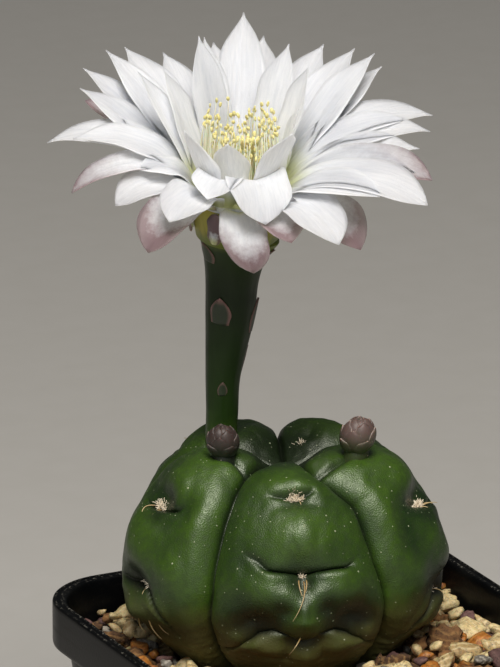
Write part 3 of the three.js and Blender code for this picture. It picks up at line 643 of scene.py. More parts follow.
def ripples(points, wavelength, count, chance):
    """A gentle unevenness from waves that run in many directions."""
    total = np.zeros(points.shape[:-1])
    for wave in range(count):
        direction = chance.normal(size=3)
        direction *= 2 * np.pi / wavelength / np.linalg.norm(direction) * chance.uniform(0.7, 1.4)
        total += np.sin(points @ direction + chance.uniform(0, 2 * np.pi))
    return total / count ** 0.5


across_rib = np.arange(SKIN_COLUMNS) / SKIN_COLUMNS
across_rib = 0.5 * across_rib + 0.5 * (1 - np.cos(across_rib * np.pi)) / 2
turns = np.concatenate([start + across_rib * (end - start) for start, end in zip(FURROWS, FURROWS[1:])])
runs = np.linspace(0.25, run_at_height(SKIN_FOOT), SKIN_ROWS)
turn_grid, run_grid = np.meshgrid(turns, runs)
rib, across, angle = rib_of(turn_grid)
radius, height, out_radial, out_up = on_profile(run_grid)
half_angles = np.radians(FURROWS[1:] - FURROWS[:-1])[rib] / 2
from_furrow = (half_angles - np.abs(angle)) * radius
fine, slide, crease = fine_relief(rib, angle * radius, run_grid)
flank = FLANK_HEIGHTS[rib] * hump(from_furrow - FLANK_PLACE, FLANK_WIDTH)
fine += flank - GROOVE_DEPTH * hump(from_furrow, GROOVE_WIDTH)
plain_skin = body_surface(turn_grid, run_grid)
cork = np.clip((8 - height) / 10, 0, 1) * (run_grid > 40)
fine += 0.10 * ripples(plain_skin, 9, 14, dice) + 0.05 * ripples(plain_skin, 3.2, 16, dice)
wrinkles = 0.16 * ripples(plain_skin * (1, 1, 2.5), 3, 18, dice)
wrinkles = wrinkles + 0.08 * ripples(plain_skin, 1.4, 18, dice)
fine += cork * wrinkles
skin = body_surface(turn_grid, run_grid, fine=fine)
facing = np.radians(wandered(turn_grid, run_grid))
outward = out_up * slide
skin += plant_place(outward * np.sin(facing), outward * np.cos(facing), -out_radial * slide) - PLANT_FOOT
crown = body_surface(np.zeros(1), np.zeros(1))
columns = len(turns)
first_ring = np.arange(columns)
body_shape = {
    "points": np.vstack([skin.reshape(-1, 3), crown]),
    "faces": [grid_faces(SKIN_ROWS, columns, closed=True)[:, ::-1],
              np.stack([first_ring, np.roll(first_ring, -1), np.full(columns, SKIN_ROWS * columns)], -1)],
    "Height": np.append(height, MERIDIAN[0, 1]),
    "Furrow": np.append(from_furrow, 3),
    "Swell": np.append(fine + main_relief(rib, angle * radius, run_grid), 0),
    "Crease": np.append(crease, 0),
    "PaintedShade": np.append(painted_shade_share(rib, angle * radius, run_grid), CROWN_PAINTED_SHADE),
}
print("skin is", np.round(skin.max((0, 1)) - skin.min((0, 1)), 1), "mm")

# %% [markdown]
# A cactus has a tough waxy cuticle over green flesh. It is moss-green on the swollen middles of the
# tubercles, where painted light also makes it lighter, a deep bottle-green on the flanks, yellow-green beside
# the furrows near the foot, and olive and corky on the oldest skin by the gravel. Painted shade makes it
# darkest at the crown and in the folds that light seldom reaches, purple-brown in the sunken hollows low
# down, and dark along the furrows and creases. Its wax gives a satin shine that breaks up over cells a
# quarter of a millimetre wide, and specks of dust and lime lie on it.

# %% Waxy cuticle
cuticle, tree, shader = start_material(
    "waxy_cactus_cuticle", IOR=1.5, Subsurface_Weight=0.06, Subsurface_Scale=0.0015, Specular_IOR_Level=0.65)
shader.inputs["Subsurface Radius"].default_value = (0.5, 1.0, 0.25)
shader.inputs["Specular Tint"].default_value = (0.93, 1.0, 0.86, 1)
place = object_place(tree)
skin_height = read_attribute(tree, "Height")
from_groove = read_attribute(tree, "Furrow")
swell = read_attribute(tree, "Swell")
crease_share = read_attribute(tree, "Crease")
dusk = read_attribute(tree, "PaintedShade")
cloud = add_noise(tree, place, 160, 5, 0.6)
mottle = add_noise(tree, place, 900, 3)
# Partly the tubercles' own moss-green and partly painted light: the colour is lighter where the skin swells
# out.
lifted = add_math(tree, "MULTIPLY_ADD", cloud.outputs[0], 2.2, swell)
swell_tone_and_painted_light = add_range(tree, lifted.outputs[0], 0.6, 2.4)
flesh = blend_colours(tree, swell_tone_and_painted_light.outputs[0], "#182d0a", "#385214")
beside = add_range(tree, from_groove, 4.0, 0.6)
low = add_range(tree, skin_height, 28.0, 10.0)
pale = add_math(tree, "MULTIPLY", beside.outputs[0], low.outputs[0])
flesh = blend_colours(tree, pale.outputs[0], flesh, "#43601a")
old = add_math(tree, "MULTIPLY_ADD", cloud.outputs[0], 8.0, skin_height)
corky = add_range(tree, old.outputs[0], 18.0, 9.0)
bark = blend_colours(tree, mottle.outputs[0], "#39390f", "#736d34")
flesh = blend_colours(tree, corky.outputs[0], flesh, bark)
# Painted shade: where the skin sinks low on the body, under the cheeks, it is darkened to a near-black
# purple-brown.
under = add_range(tree, skin_height, 24.0, 15.0)
sunk = add_range(tree, swell, -0.3, -1.5, 0.0, 0.95)
painted_hollow_shade = add_math(tree, "MULTIPLY", under.outputs[0], sunk.outputs[0])
flesh = blend_colours(tree, painted_hollow_shade.outputs[0], flesh, "#1a130d")
# Painted shade: the crown and the listed folds and hollows are darkened to near-black green.
flesh = blend_colours(tree, dusk, flesh, "#0b1307")
grain = add_range(tree, mottle.outputs[0], 0.35, 0.7, 0.0, 0.35)
flesh = blend_colours(tree, grain.outputs[0], flesh, "#14210f")
# Painted shade: the bottoms of the furrows and the fold creases are darkened into dark lines.
groove = add_range(tree, from_groove, 0.55, 0.1, 0.0, 0.8)
line = add_math(tree, "MULTIPLY_ADD", crease_share, 0.5, groove.outputs[0])
shaded = add_math(tree, "MINIMUM", line.outputs[0], 0.85)
flesh = blend_colours(tree, shaded.outputs[0], flesh, "#10180a")
lime = []
for size, rarity, radius in ((620, 0.6, 0.13), (1100, 0.75, 0.17)):
    dots = add_node(tree, "ShaderNodeTexVoronoi", {"Vector": place, "Scale": size, "Randomness": 1})
    chosen = add_math(tree, "GREATER_THAN", dots.outputs["Color"], rarity)
    near = add_range(tree, dots.outputs["Distance"], radius, radius / 2)
    lime.append(add_math(tree, "MULTIPLY", chosen.outputs[0], near.outputs[0]))
specks = add_math(tree, "MULTIPLY_ADD", lime[1].outputs[0], 0.7, lime[0].outputs[0])
lime_share = add_math(tree, "MULTIPLY", specks.outputs[0], 0.75)
flesh = blend_colours(tree, lime_share.outputs[0], flesh, "#b4ba99")
tree.links.new(flesh, shader.inputs["Base Color"])
shine = add_range(tree, mottle.outputs[0], 0.3, 0.7, 0.37, 0.5)
rough = add_math(tree, "MULTIPLY_ADD", corky.outputs[0], 0.25, shine.outputs[0])
tree.links.new(rough.outputs[0], shader.inputs["Roughness"])
cells = add_node(tree, "ShaderNodeTexVoronoi", {"Vector": place, "Scale": 3600})
uneven = add_math(tree, "MULTIPLY_ADD", specks.outputs[0], 1.5, cells.outputs[0])
add_bumps(tree, shader, uneven.outputs[0], 0.5, 0.0001)

make_piece("cactus_skin", body_shape, [cuticle], ["cactus_body"])

# %% [markdown]
# ## Wool and spines
# Every areole is a pad of cream felt from which the spines grow. Particle hair wouldn't survive the export,
# so each hair is a bent rod a quarter of a millimetre thick at its root, sunk into the skin and leaning
# every way.

# %% Felt pads on the areoles
def skin_frame(rib, sideways, run):
    """A place on the skin with its outward, sideways and downward directions."""
    radius, height, out_radial, out_up = on_profile(np.array([run]))
    turn = CRESTS[rib] + np.degrees(sideways / radius)
    step = np.array([0, 0.4, 0])
    lean = np.array([0, 0, 0.4])
    turns_here = turn + np.degrees(step / radius)
    runs_here = run + lean
    rib_here, _, angle_here = rib_of(turns_here)
    radii_here = on_profile(runs_here)[0]
    fine_here = fine_relief(rib_here, angle_here * radii_here, runs_here)[0]
    here, beside, below = body_surface(turns_here, runs_here, fine=fine_here)
    sideways_way = unit(beside - here)
    down_way = unit(below - here)
    outward = unit(np.cross(down_way, sideways_way))
    return here, outward, sideways_way, down_way


WOOL_PADS = [
    # rib, sideways, down, half width, half height, hairs
    (0, -0.6, 23, 1.8, 0.8, 320), (0, -0.6, 22.4, 0.8, 0.6, 120), (0, 0, 38.7, 0.5, 0.4, 30),
    (0, 0, 52.2, 0.5, 0.4, 24),
    (4, -1.6, 30, 1.3, 0.6, 150), (4, 3, 44.8, 0.9, 0.7, 90), (4, 3.6, 16.4, 0.9, 0.4, 8),
    (1, 1.4, 31.6, 1.6, 0.8, 240), (1, -1.6, 49.3, 0.9, 0.6, 80), (1, -2, 17, 0.9, 0.4, 10),
    (2, 0.2, 7.2, 0.8, 0.3, 30),
]
WOOL_PADS += [(rib, 0, run, 1.4, 0.8, 150) for rib, run in AREOLES if rib in BACK_RIBS]


def wool_hair(root, outward, chance):
    """One bent hair of an areole's felt."""
    lean = unit(outward + 0.5 * UPWARD + 0.5 * chance.normal(size=3))
    curl = 0.3 * chance.normal(size=3)
    length = chance.uniform(0.6, 1.3)
    share = np.linspace(0, 1, 5)[:, None]
    path = root - 0.3 * outward + share * length * lean + share ** 2 * length * curl
    return rod(path, np.linspace(0.12, 0.04, 5), 4)


hairs = []
for rib, sideways, run, half_width, half_height, count in WOOL_PADS:
    place, outward, sideways_way, down_way = skin_frame(rib, sideways, run)
    for hair in range(count):
        spread, turn = dice.uniform() ** 0.5, dice.uniform(0, 2 * np.pi)
        sideways_share, down_share = half_width * np.cos(turn), half_height * np.sin(turn)
        root = place + spread * (sideways_share * sideways_way + down_share * down_way)
        hairs.append(wool_hair(root, outward, dice))
wool_fibre, tree, shader = start_material("areole_wool", Roughness=0.85, Sheen_Weight=0.3, IOR=1.5)
tint = add_node(tree, "ShaderNodeTexNoise", {"Scale": 700, "Vector": object_place(tree)})
tree.links.new(blend_colours(tree, tint.outputs[0], "#d0bb99", "#f6eedb"), shader.inputs["Base Color"])
make_piece("areole_wool", gather(hairs), [wool_fibre])

# %% [markdown]
# Spines are hard, straw-coloured needles with a brown root. On this species they bend back against the body,
# so each starts outward, then follows the skin to the side or down.

# %% Spines
SPINES = [
    # rib, sideways, down, then length, lean to the side, curl to the side, stand
    (0, -0.5, 38.8, 5.4, -0.5, 0.55, 0.45), (0, 0.5, 38.8, 4.8, 0.55, -0.6, 0.45),
    (0, 0.1, 39.1, 8.4, 0.3, -0.55, 0.55), (0, 0.1, 51.6, 8.4, 0.8, -0.75, 1.3),
    (0, 0.3, 23.6, 1.2, 0.1, 0, 0.8), (4, -2.2, 30, 7.4, -1.3, 0.75, 0.35),
    (4, -1.2, 30.1, 3.0, 0.3, 0.2, 0.3), (4, 3, 45.2, 2.4, -0.4, 0.3, 0.3),
    (4, 4.0, 51.2, 5.2, 0.15, 0.1, 0.3), (4, 1.6, 51.2, 4.6, -0.25, 0.15, 0.3),
    (4, 5.8, 52, 3.6, 0.3, 0.1, 0.3), (1, 1.6, 31.8, 3.6, 0.5, 0.2, 0.4),
    (1, 2.1, 31.8, 3.2, 0.9, -0.2, 0.4), (1, 1, 31.7, 2.4, -0.5, 0.3, 0.4),
    (1, -1.6, 49.5, 4.6, 1.0, -0.6, 0.5),
]
for rib, run in AREOLES:
    if rib in BACK_RIBS:
        SPINES += [(rib, 0, run + 0.3, 5.2, lean, -lean / 2, 0.45) for lean in (-1.1, 0.1, 1.1)]


def spine_path(rib, sideways, run, length, lean, curl, stand):
    """A spine that leaves its areole outward and bends back along the skin."""
    place, outward, sideways_way, down_way = skin_frame(rib, sideways, run)
    share = np.linspace(0, 1, 12)[:, None]
    along = down_way + lean * sideways_way
    along /= np.linalg.norm(along)
    path = place - 0.5 * outward + length * share * along + length * curl * share ** 2 * sideways_way
    return path + outward * length * stand * (share * (1.25 - share)) * 1.4


needles = [rod(spine_path(*spine), np.linspace(0.15, 0.05, 12), 7) for spine in SPINES]
horn, tree, shader = start_material("spine_horn", Roughness=0.4, IOR=1.54)
along = read_attribute(tree, "Along")
streak = add_node(tree, "ShaderNodeTexNoise", {"Scale": 900, "Vector": object_place(tree)})
uneven = add_math(tree, "MULTIPLY_ADD", streak.outputs[0], 0.5, along)
tone = add_node(tree, "ShaderNodeValToRGB", {0: uneven.outputs[0]}, [
    (0.2, "#5f4326"), (1.0, "#bda87c"), (0.5, "#9c8252")])
tree.links.new(tone.outputs[0], shader.inputs["Base Color"])
make_piece("spines", gather(needles), [horn])

# %% [markdown]
# ## Gravel
# The top dressing is a mix of crushed flint, sandstone, ironstone and limestone, two to eight millimetres
# across. A physics simulation would settle it well but slowly, so each stone is dropped onto a map of
# heights: of a few random places it takes the lowest, rests there and raises the map.

# %% Stones that fill the pot to its level
STONE_KINDS = ["flint_cream", "flint_ochre", "sandstone_brown", "ironstone_purple", "limestone_grey"]
KIND_SHARES = [0.32, 0.2, 0.31, 0.09, 0.08]
BREAK_FACES = 9
SMALL_STONES, LARGE_STONES, SMALL_SHARE = (1.1, 2.0), (2.0, 3.7), 0.55
FINE_STONE = 1.6
MAP_HALF, MAP_STEP, BED_FLOOR = 40, 0.4, 62.0
DROP_HALF = 38
map_side = np.arange(-MAP_HALF, MAP_HALF + 0.001, MAP_STEP)
bed_map = np.full((len(map_side), len(map_side)), BED_FLOOR)


def pebble(kind, size, chance):
    """A stone between flat breaks, with edges as worn and skin as rough as its kind's."""
    builder = bmesh.new()
    bmesh.ops.create_icosphere(builder, subdivisions=3 if size > FINE_STONE else 2, radius=1)
    directions = np.array([vertex.co for vertex in builder.verts])
    faces = np.array([[vertex.index for vertex in face.verts] for face in builder.faces])
    builder.free()
    sharpness, roughness = ((30, 0.04), (22, 0.05), (12, 0.12), (12, 0.05), (26, 0.06))[kind]
    breaks = np.vstack([np.eye(3), -np.eye(3), unit(chance.normal(size=(BREAK_FACES, 3)))])
    offsets = np.append(np.ones(6), chance.uniform(0.6, 0.95, BREAK_FACES))
    nearness = np.maximum(directions @ breaks.T, 0) / offsets
    reach = np.minimum((nearness ** sharpness).sum(1) ** (-1 / sharpness), 1.25)
    unevenness = sum(ripples(directions, wavelength, 10, chance) for wavelength in (0.9, 0.45, 0.25))
    points = directions * (reach * (1 + roughness * unevenness))[:, None]
    shape = (chance.uniform(0.95, 1.3), chance.uniform(0.7, 1), chance.uniform(0.5, 0.8))
    return points * size * np.array(shape), faces


def free_of_plant(x, y, z, reach):
    """Whether a stone's middle is clear of the body."""
    offset = np.array([x, y, z]) - PLANT_FOOT
    away = math.hypot(offset[0], offset[1])
    turn = math.degrees(math.atan2(offset @ RIGHTWARD, offset @ FRONTWARD))
    for lift in (0, 0.5 * reach, reach):
        run = run_at_height(min(offset[2] + lift, 12))
        skin_point = body_surface(np.array([turn]), np.array([float(run)]))[0] - PLANT_FOOT
        if away < math.hypot(skin_point[0], skin_point[1]) + 0.85 * reach:
            return False
    return True


def inside_pot(x, y, z, reach):
    """Whether a stone's middle is clear of the pot's wall."""
    share = z / POT_HEIGHT
    half = (BASE_WIDTH + share * (POT_WIDTH - 2 * COLLAR_STEP - BASE_WIDTH)) / 2 - WALL - reach
    corner = max(1.0, BASE_CORNER + share * (RIM_CORNER - BASE_CORNER) - WALL - reach)
    x, y = abs(x), abs(y)
    if x > half or y > half:
        return False
    past = max(0, x - half + corner), max(0, y - half + corner)
    return math.hypot(*past) <= corner


print("stone kinds:", ", ".join(STONE_KINDS))

# %% Drop the stones
MOST_MISSES, MOST_STONES, TRIES = 260, 1400, 7
stones = [[] for _ in STONE_KINDS]
misses = 0
dropped = 0
while misses < MOST_MISSES and dropped < MOST_STONES:
    size = dice.uniform(*(SMALL_STONES if dice.uniform() < SMALL_SHARE else LARGE_STONES))
    kind = int(dice.choice(len(STONE_KINDS), p=KIND_SHARES))
    best = None
    for _ in range(TRIES):
        x, y = dice.uniform(-DROP_HALF, DROP_HALF, 2)
        column, row = (np.array([x, y]) + MAP_HALF) / MAP_STEP
        reach = int(size / MAP_STEP) + 1
        rows = slice(max(0, int(row) - reach), int(row) + reach + 1)
        cols = slice(max(0, int(column) - reach), int(column) + reach + 1)
        across_x, across_y = np.meshgrid(map_side[cols] - x, map_side[rows] - y)
        inside = 1 - (across_x ** 2 + across_y ** 2) / size ** 2
        bulge = 0.62 * size * np.sqrt(np.clip(inside, 0, 1))
        rest = np.where(inside > 0, bed_map[rows, cols] + bulge, 0)
        z = np.percentile(rest[inside > 0], 90) if (inside > 0).any() else 99
        if not inside_pot(x, y, z, 0.85 * size) or not free_of_plant(x, y, z, size):
            continue
        if best is None or z < best[2]:
            best = (x, y, z, rows, cols, inside, bulge)
    if best is None:
        misses += 0.2
        continue
    x, y, z, rows, cols, inside, bulge = best
    from_plant = math.hypot(x - PLANT_FOOT[0], y - PLANT_FOOT[1])
    level = GRAVEL_LEVEL + 0.4 + 1.6 * hump(from_plant - 24, 7)
    if z + 0.35 * size > level:
        misses += 1
        continue
    misses = max(0, misses - 1)
    before = bed_map[rows, cols]
    bed_map[rows, cols] = np.where(inside > 0, np.maximum(before, z + bulge), before)
    points, faces = pebble(kind, size, dice)
    turn, tip = dice.uniform(0, 2 * np.pi), dice.normal(0, 0.25, 2)
    spin = np.array([[np.cos(turn), -np.sin(turn), 0], [np.sin(turn), np.cos(turn), 0], [tip[0], tip[1], 1]])
    points = points @ spin.T + (x, y, z)
    stones[kind].append({"points": points, "faces": [faces], "Tone": np.full(len(points), dice.uniform())})
    dropped += 1
print(dropped, "stones; the top lies at", round(float(np.median(bed_map[60:80, 10:190])), 1), "mm")

# %% [markdown]
# Flint breaks like glass and lets a little light in; sandstone is rough and porous, with grains that one can
# see; ironstone is plum-brown; limestone is grey. Each kind has its own two colours, its grain and its shine,
# and each stone its own tone between them. Layers run through a stone at an angle of its own, and soil has
# stained the hollows.

# %% Stone materials
STONE_FINISHES = {
    # dark, light, layers, roughness, grain scale, grain bump, subsurface
    "flint_cream": ("#94764a", "#d8c28c", "#e9d9ac", 0.5, 900, 0.5, 0.1),
    "flint_ochre": ("#5e3312", "#ab6a28", "#c9954f", 0.45, 900, 0.5, 0.08),
    "sandstone_brown": ("#3d2818", "#8c6238", "#a9824f", 0.9, 1300, 1.0, 0.0),
    "ironstone_purple": ("#35211f", "#664743", "#7d5e56", 0.7, 1300, 0.7, 0.0),
    "limestone_grey": ("#4a463f", "#a0988a", "#cfc8b8", 0.65, 1100, 0.7, 0.0),
}
STAIN = "#241a10"
stone_materials = {}
for kind, (dark, light, layer, roughness, grain_scale, grain_bump, glow) in STONE_FINISHES.items():
    made, tree, shader = start_material(
        kind, IOR=1.54, Roughness=roughness, Subsurface_Weight=glow, Subsurface_Scale=0.001)
    place = object_place(tree)
    tone = read_attribute(tree, "Tone")
    cloud = add_noise(tree, place, 420, 8, 0.7)
    shade = add_math(tree, "MULTIPLY_ADD", cloud.outputs[0], 1.3, tone)
    spread = add_range(tree, shade.outputs[0], 0.5, 1.35)
    colour = blend_colours(tree, spread.outputs[0], dark, light)
    slant = add_math(tree, "MULTIPLY", tone, 40.0)
    tilted = add_node(tree, "ShaderNodeVectorRotate", {
        "Vector": place, "Axis": (0.6, 0.7, 0.4), "Angle": slant.outputs[0]})
    layers = add_node(tree, "ShaderNodeTexWave", {
        "Vector": tilted.outputs[0], "Scale": 260, "Distortion": 5, "Detail": 4, "Detail Scale": 1.5})
    thin = add_range(tree, layers.outputs[1], 0.55, 1.0, 0.0, 0.5)
    colour = blend_colours(tree, thin.outputs[0], colour, layer)
    grain = add_noise(tree, place, grain_scale, 6, 0.75)
    dark_grain = add_range(tree, grain.outputs[0], 0.5, 0.33, 0.0, 0.8)
    colour = blend_colours(tree, dark_grain.outputs[0], colour, STAIN)
    tree.links.new(colour, shader.inputs["Base Color"])
    relief = add_math(tree, "MULTIPLY_ADD", cloud.outputs[0], 1.5, grain.outputs[0])
    add_bumps(tree, shader, relief.outputs[0], grain_bump, 0.0004)
    stone_materials[kind] = made
for kind, group in zip(STONE_KINDS, stones):
    replaced = ["gravel"] if kind == STONE_KINDS[0] else []
    make_piece("gravel_" + kind, gather(group), [stone_materials[kind]], replaced)

# %% [markdown]
# ## Potting compost
# Peat compost fills the pot below the gravel and shows only as darkness between the stones, so the plain
# solid is enough under a dark, crumbly material.

# %% Compost
compost, tree, shader = start_material("peat_compost", Roughness=0.95, IOR=1.4)
place = object_place(tree)
crumb = add_noise(tree, place, 800, 8, 0.75)
tree.links.new(blend_colours(tree, crumb.outputs[0], "#120c08", "#4a3626"), shader.inputs["Base Color"])
add_bumps(tree, shader, crumb.outputs[0], 1.0, 0.001)
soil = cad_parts["soil"]
soil.data.materials.clear()
soil.data.materials.append(compost)
print("compost on", soil.name)

# %% [markdown]
# ## Buds
# A bud is a little artichoke: broad scales lie over each other from a short stalk to a tip. Each scale is a
# patch of the bud's egg shape, lifted more towards its own tip, so that the next row starts under it.

# %% One bud from its scales
BUDS = {
    "bud_right": {"centre": (13.6, 7.4, 40.7), "radius": 3.3, "lean": (0.10, 0.05)},
    "bud_left": {"centre": (-11.4, 9, 40.1), "radius": 3.0, "lean": (-0.05, 0.1)},
}
SCALE_ROWS = [
    # height of the foot and of the tip from -1 to 1, half width in degrees, count, first turn
    (-1.0, 0.0, 50, 4, 30), (-0.75, 0.5, 46, 4, 75), (-0.35, 0.86, 42, 4, 25), (0.2, 1.02, 42, 3, 70),
    (0.65, 1.12, 44, 2, 40),
]


def bud_scale(low, high, half_width, turn, radius, lift):
    """One scale as a thin curved shield on the bud's surface."""
    rows, columns = 12, 11
    share = np.linspace(0, 1, rows)[:, None]
    across = np.linspace(-1, 1, columns)[None, :]
    width = half_width * np.minimum(1, 0.72 + 0.6 * share) * np.sqrt(np.clip(1 - share ** 3.2, 0.0004, 1))
    level = low + (high - low) * share * (1 - 0.06 * across ** 2)
    polar = np.arccos(np.clip(level, -0.98, 0.985))
    facing = np.radians(turn + across * width / np.maximum(np.sin(polar), 0.45))
    stand = lift * (0.02 + 0.08 * share) - 0.04 * np.abs(across) ** 3 + 0.02 * np.cos(across * 3)
    reach = radius * (1 + stand)
    outer = np.stack([reach * np.sin(polar) * np.sin(facing), reach * np.sin(polar) * np.cos(facing),
                      1.13 * reach * np.cos(polar) + np.zeros_like(facing)], -1)
    inner = outer * (1 - 0.09 / (1 + stand))[..., None]
    count = rows * columns
    sheet = grid_faces(rows, columns)
    side = joined_rims(rows, columns)
    edge = np.maximum(np.abs(across) + 0 * share, share ** 3 + 0 * across)
    return {
        "points": np.vstack([outer.reshape(-1, 3), inner.reshape(-1, 3)]),
        "faces": [sheet, sheet[:, ::-1] + count, side],
        "Edge": np.tile(edge.ravel(), 2), "Along": np.tile((share + 0 * across).ravel(), 2),
        "Level": np.tile((level + 0 * across).ravel(), 2),
    }


def bud_shape(centre, radius, lean):
    """The core, the scales and the stalk of a bud, in the pot's frame."""
    shapes = []
    for row, (low, high, half_width, count, first) in enumerate(SCALE_ROWS):
        for scale in range(count):
            turn = first + scale * 360 / count + dice.uniform(-6, 6)
            shapes.append(bud_scale(low, high, half_width, turn, radius * (0.98 - 0.025 * row), 1.0))
    levels = np.linspace(-1.0, 1.0, 14)
    core_radii = radius * 0.9 * np.sqrt(np.clip(1 - levels ** 2, 0.01, 1))
    core = rod([(0, 0, level * radius) for level in levels], core_radii, 20, steady=(1, 0, 0))
    stalk = rod([(0, 0, -2.1 * radius), (0, 0, -1.2 * radius), (0, 0, -0.7 * radius)],
                np.array([0.85, 0.72, 0.68]) * radius, 20, steady=(1, 0, 0))
    for plain, edge in ((core, 0.5), (stalk, 0.2)):
        plain["Edge"] = np.full(len(plain["points"]), edge)
        plain["Level"] = np.full(len(plain["points"]), -1.0 if plain is stalk else 0.0)
        shapes.append(plain)
    whole = gather(shapes)
    right, front, up = whole["points"].T
    right = centre[0] + right + lean[0] * up
    front = centre[1] + front + lean[1] * up
    whole["points"] = plant_place(right, front, centre[2] + up)
    return whole


# %% [markdown]
# Bud scales are fleshy and matt. Low on the bud they are olive, higher up a dusky brown, and each has a thin
# pale margin where it is only a skin. The left bud's scales are a darker copy of the same colours: painted
# shade.

# %% Bud scales
def bud_material(name, low_colour, high_colour, margin):
    """Dusky scales with a pale margin."""
    made, tree, shader = start_material(
        name, IOR=1.45, Roughness=0.5, Subsurface_Weight=0.1, Subsurface_Scale=0.001)
    place = object_place(tree)
    edge = read_attribute(tree, "Edge")
    level = read_attribute(tree, "Level")
    noise = add_noise(tree, place, 700, 5)
    shade = add_math(tree, "MULTIPLY_ADD", noise.outputs[0], 1.2, level)
    rise = add_range(tree, shade.outputs[0], -0.1, 1.0)
    colour = blend_colours(tree, rise.outputs[0], low_colour, high_colour)
    rim = add_range(tree, edge, 0.86, 0.99, 0.0, 0.8)
    tree.links.new(blend_colours(tree, rim.outputs[0], colour, margin), shader.inputs["Base Color"])
    add_bumps(tree, shader, noise.outputs[0], 0.3, 0.0003)
    return made


bud_finishes = {
    "bud_right": bud_material("dusky_bud_scale", "#36421f", "#5b4a45", "#a8968c"),
    # Painted shade: the left bud's scales are a darker copy of the right bud's colours.
    "bud_left": bud_material("shaded_bud_scale", "#20271a", "#3b2f2b", "#6b605a"),
}
for name, form in BUDS.items():
    make_piece(name + "_scales", bud_shape(**form), [bud_finishes[name]], [name])

# %% [markdown]
# ## The flower's tube
# The flower stands on a long green tube, which is the bare ovary below and the floral tube above. It is a rod
# whose radius changes, along a line that leans a little, with a few broad scales that lie close against it.

# %% The flower's own directions
FLOWER_CENTRE = (-8.6, -3, 78.9)
lean_right, lean_front = math.tan(math.radians(1.5)), math.tan(math.radians(8))
flower_axis = unit(plant_place(lean_right, lean_front, 1) - PLANT_FOOT)
flower_front = unit(FRONTWARD - (FRONTWARD @ flower_axis) * flower_axis)
flower_right = np.cross(flower_axis, flower_front)


def flower_place(turn, radius, height):
    """A place round the flower's axis, at a turn from its front in degrees, a radius and a height."""
    given = np.radians(turn), radius, height
    facing, radius, height = (np.asarray(value, float)[..., None] for value in given)
    across = flower_right * np.sin(facing) + flower_front * np.cos(facing)
    return plant_place(*FLOWER_CENTRE) + radius * across + height * flower_axis


TUBE_KNOTS = [
    # right, front and up from the plant's foot
    (-12, -4.5, 33), (-11.6, -4.3, 41), (-11.4, -4.1, 49), (-10.2, -3.8, 60), (-9.7, -3.5, 68),
    (-9.2, -3.4, 73),
]
TUBE_RADII = [2.9, 3.0, 3.3, 4.5, 5.0, 6.1, 7.8]
tube_knots = np.vstack([plant_place(*np.array(TUBE_KNOTS).T), flower_place(0, 0, -2.5)])
tube_line = smooth_line(tube_knots, 18)
tube_radii = smooth_line(np.array(TUBE_RADII)[:, None], 18)[:, 0]
tube_length = np.linalg.norm(np.diff(tube_line, axis=0), axis=1).sum()
print("the tube is", round(float(tube_length), 1), "mm long")

# %% The tube and its scales
TUBE_SIDES = 48
TUBE_SHARE = 0.86
tube_way = unit(np.gradient(tube_line, axis=0))
tube_right = unit(flower_right - (tube_way @ flower_right)[:, None] * tube_way)
tube_front = np.cross(tube_right, tube_way)
tube_turn = np.arange(TUBE_SIDES) / TUBE_SIDES * 2 * np.pi
spokes = tube_right[:, None] * np.sin(tube_turn)[:, None] + tube_front[:, None] * np.cos(tube_turn)[:, None]
ridges = 1 + 0.012 * np.sin(5 * tube_turn + 0.6)[None] + 0.008 * np.sin(11 * tube_turn)[None]
tube_points = tube_line[:, None] + (tube_radii[:, None] * ridges)[..., None] * spokes
cup = [(7.2, -2.2), (6.2, -2.4), (4.7, -2.6), (4.2, -7.5), (3.3, -12)]
cup_rings = [tube_line[-1] + (radius / tube_radii[-1]) * (tube_points[-1] - tube_line[-1])
             + (height + 2.5) * flower_axis for radius, height in cup]
tube_rings = np.concatenate([tube_points, np.array(cup_rings)])
ring_count = len(tube_rings)
one_ring = np.arange(TUBE_SIDES)
ring_shares = TUBE_SHARE * np.append(np.linspace(0, 1, len(tube_line)), np.ones(len(cup)))
tube_shape = {
    "points": tube_rings.reshape(-1, 3),
    "faces": [grid_faces(ring_count, TUBE_SIDES, closed=True), one_ring[None, ::-1],
              (one_ring + (ring_count - 1) * TUBE_SIDES)[None]],
    "Along": np.repeat(ring_shares, TUBE_SIDES),
    "Edge": np.zeros(ring_count * TUBE_SIDES),
    "Scale": np.zeros(ring_count * TUBE_SIDES),
}
TUBE_SCALES = [
    # along the tube, turn, length, width, how pink
    (0.5, -25, 4.6, 4.4, 0.9), (0.27, 0, 2.4, 1.8, 0.5), (0.47, 85, 5, 4, 0.6), (0.66, 150, 5, 4.4, 0.6),
    (0.4, -130, 4, 3.8, 0.5), (0.34, 110, 3.4, 3.4, 0.5), (0.78, -60, 6, 4.4, 0.6), (0.8, 70, 6, 4.6, 0.8),
]


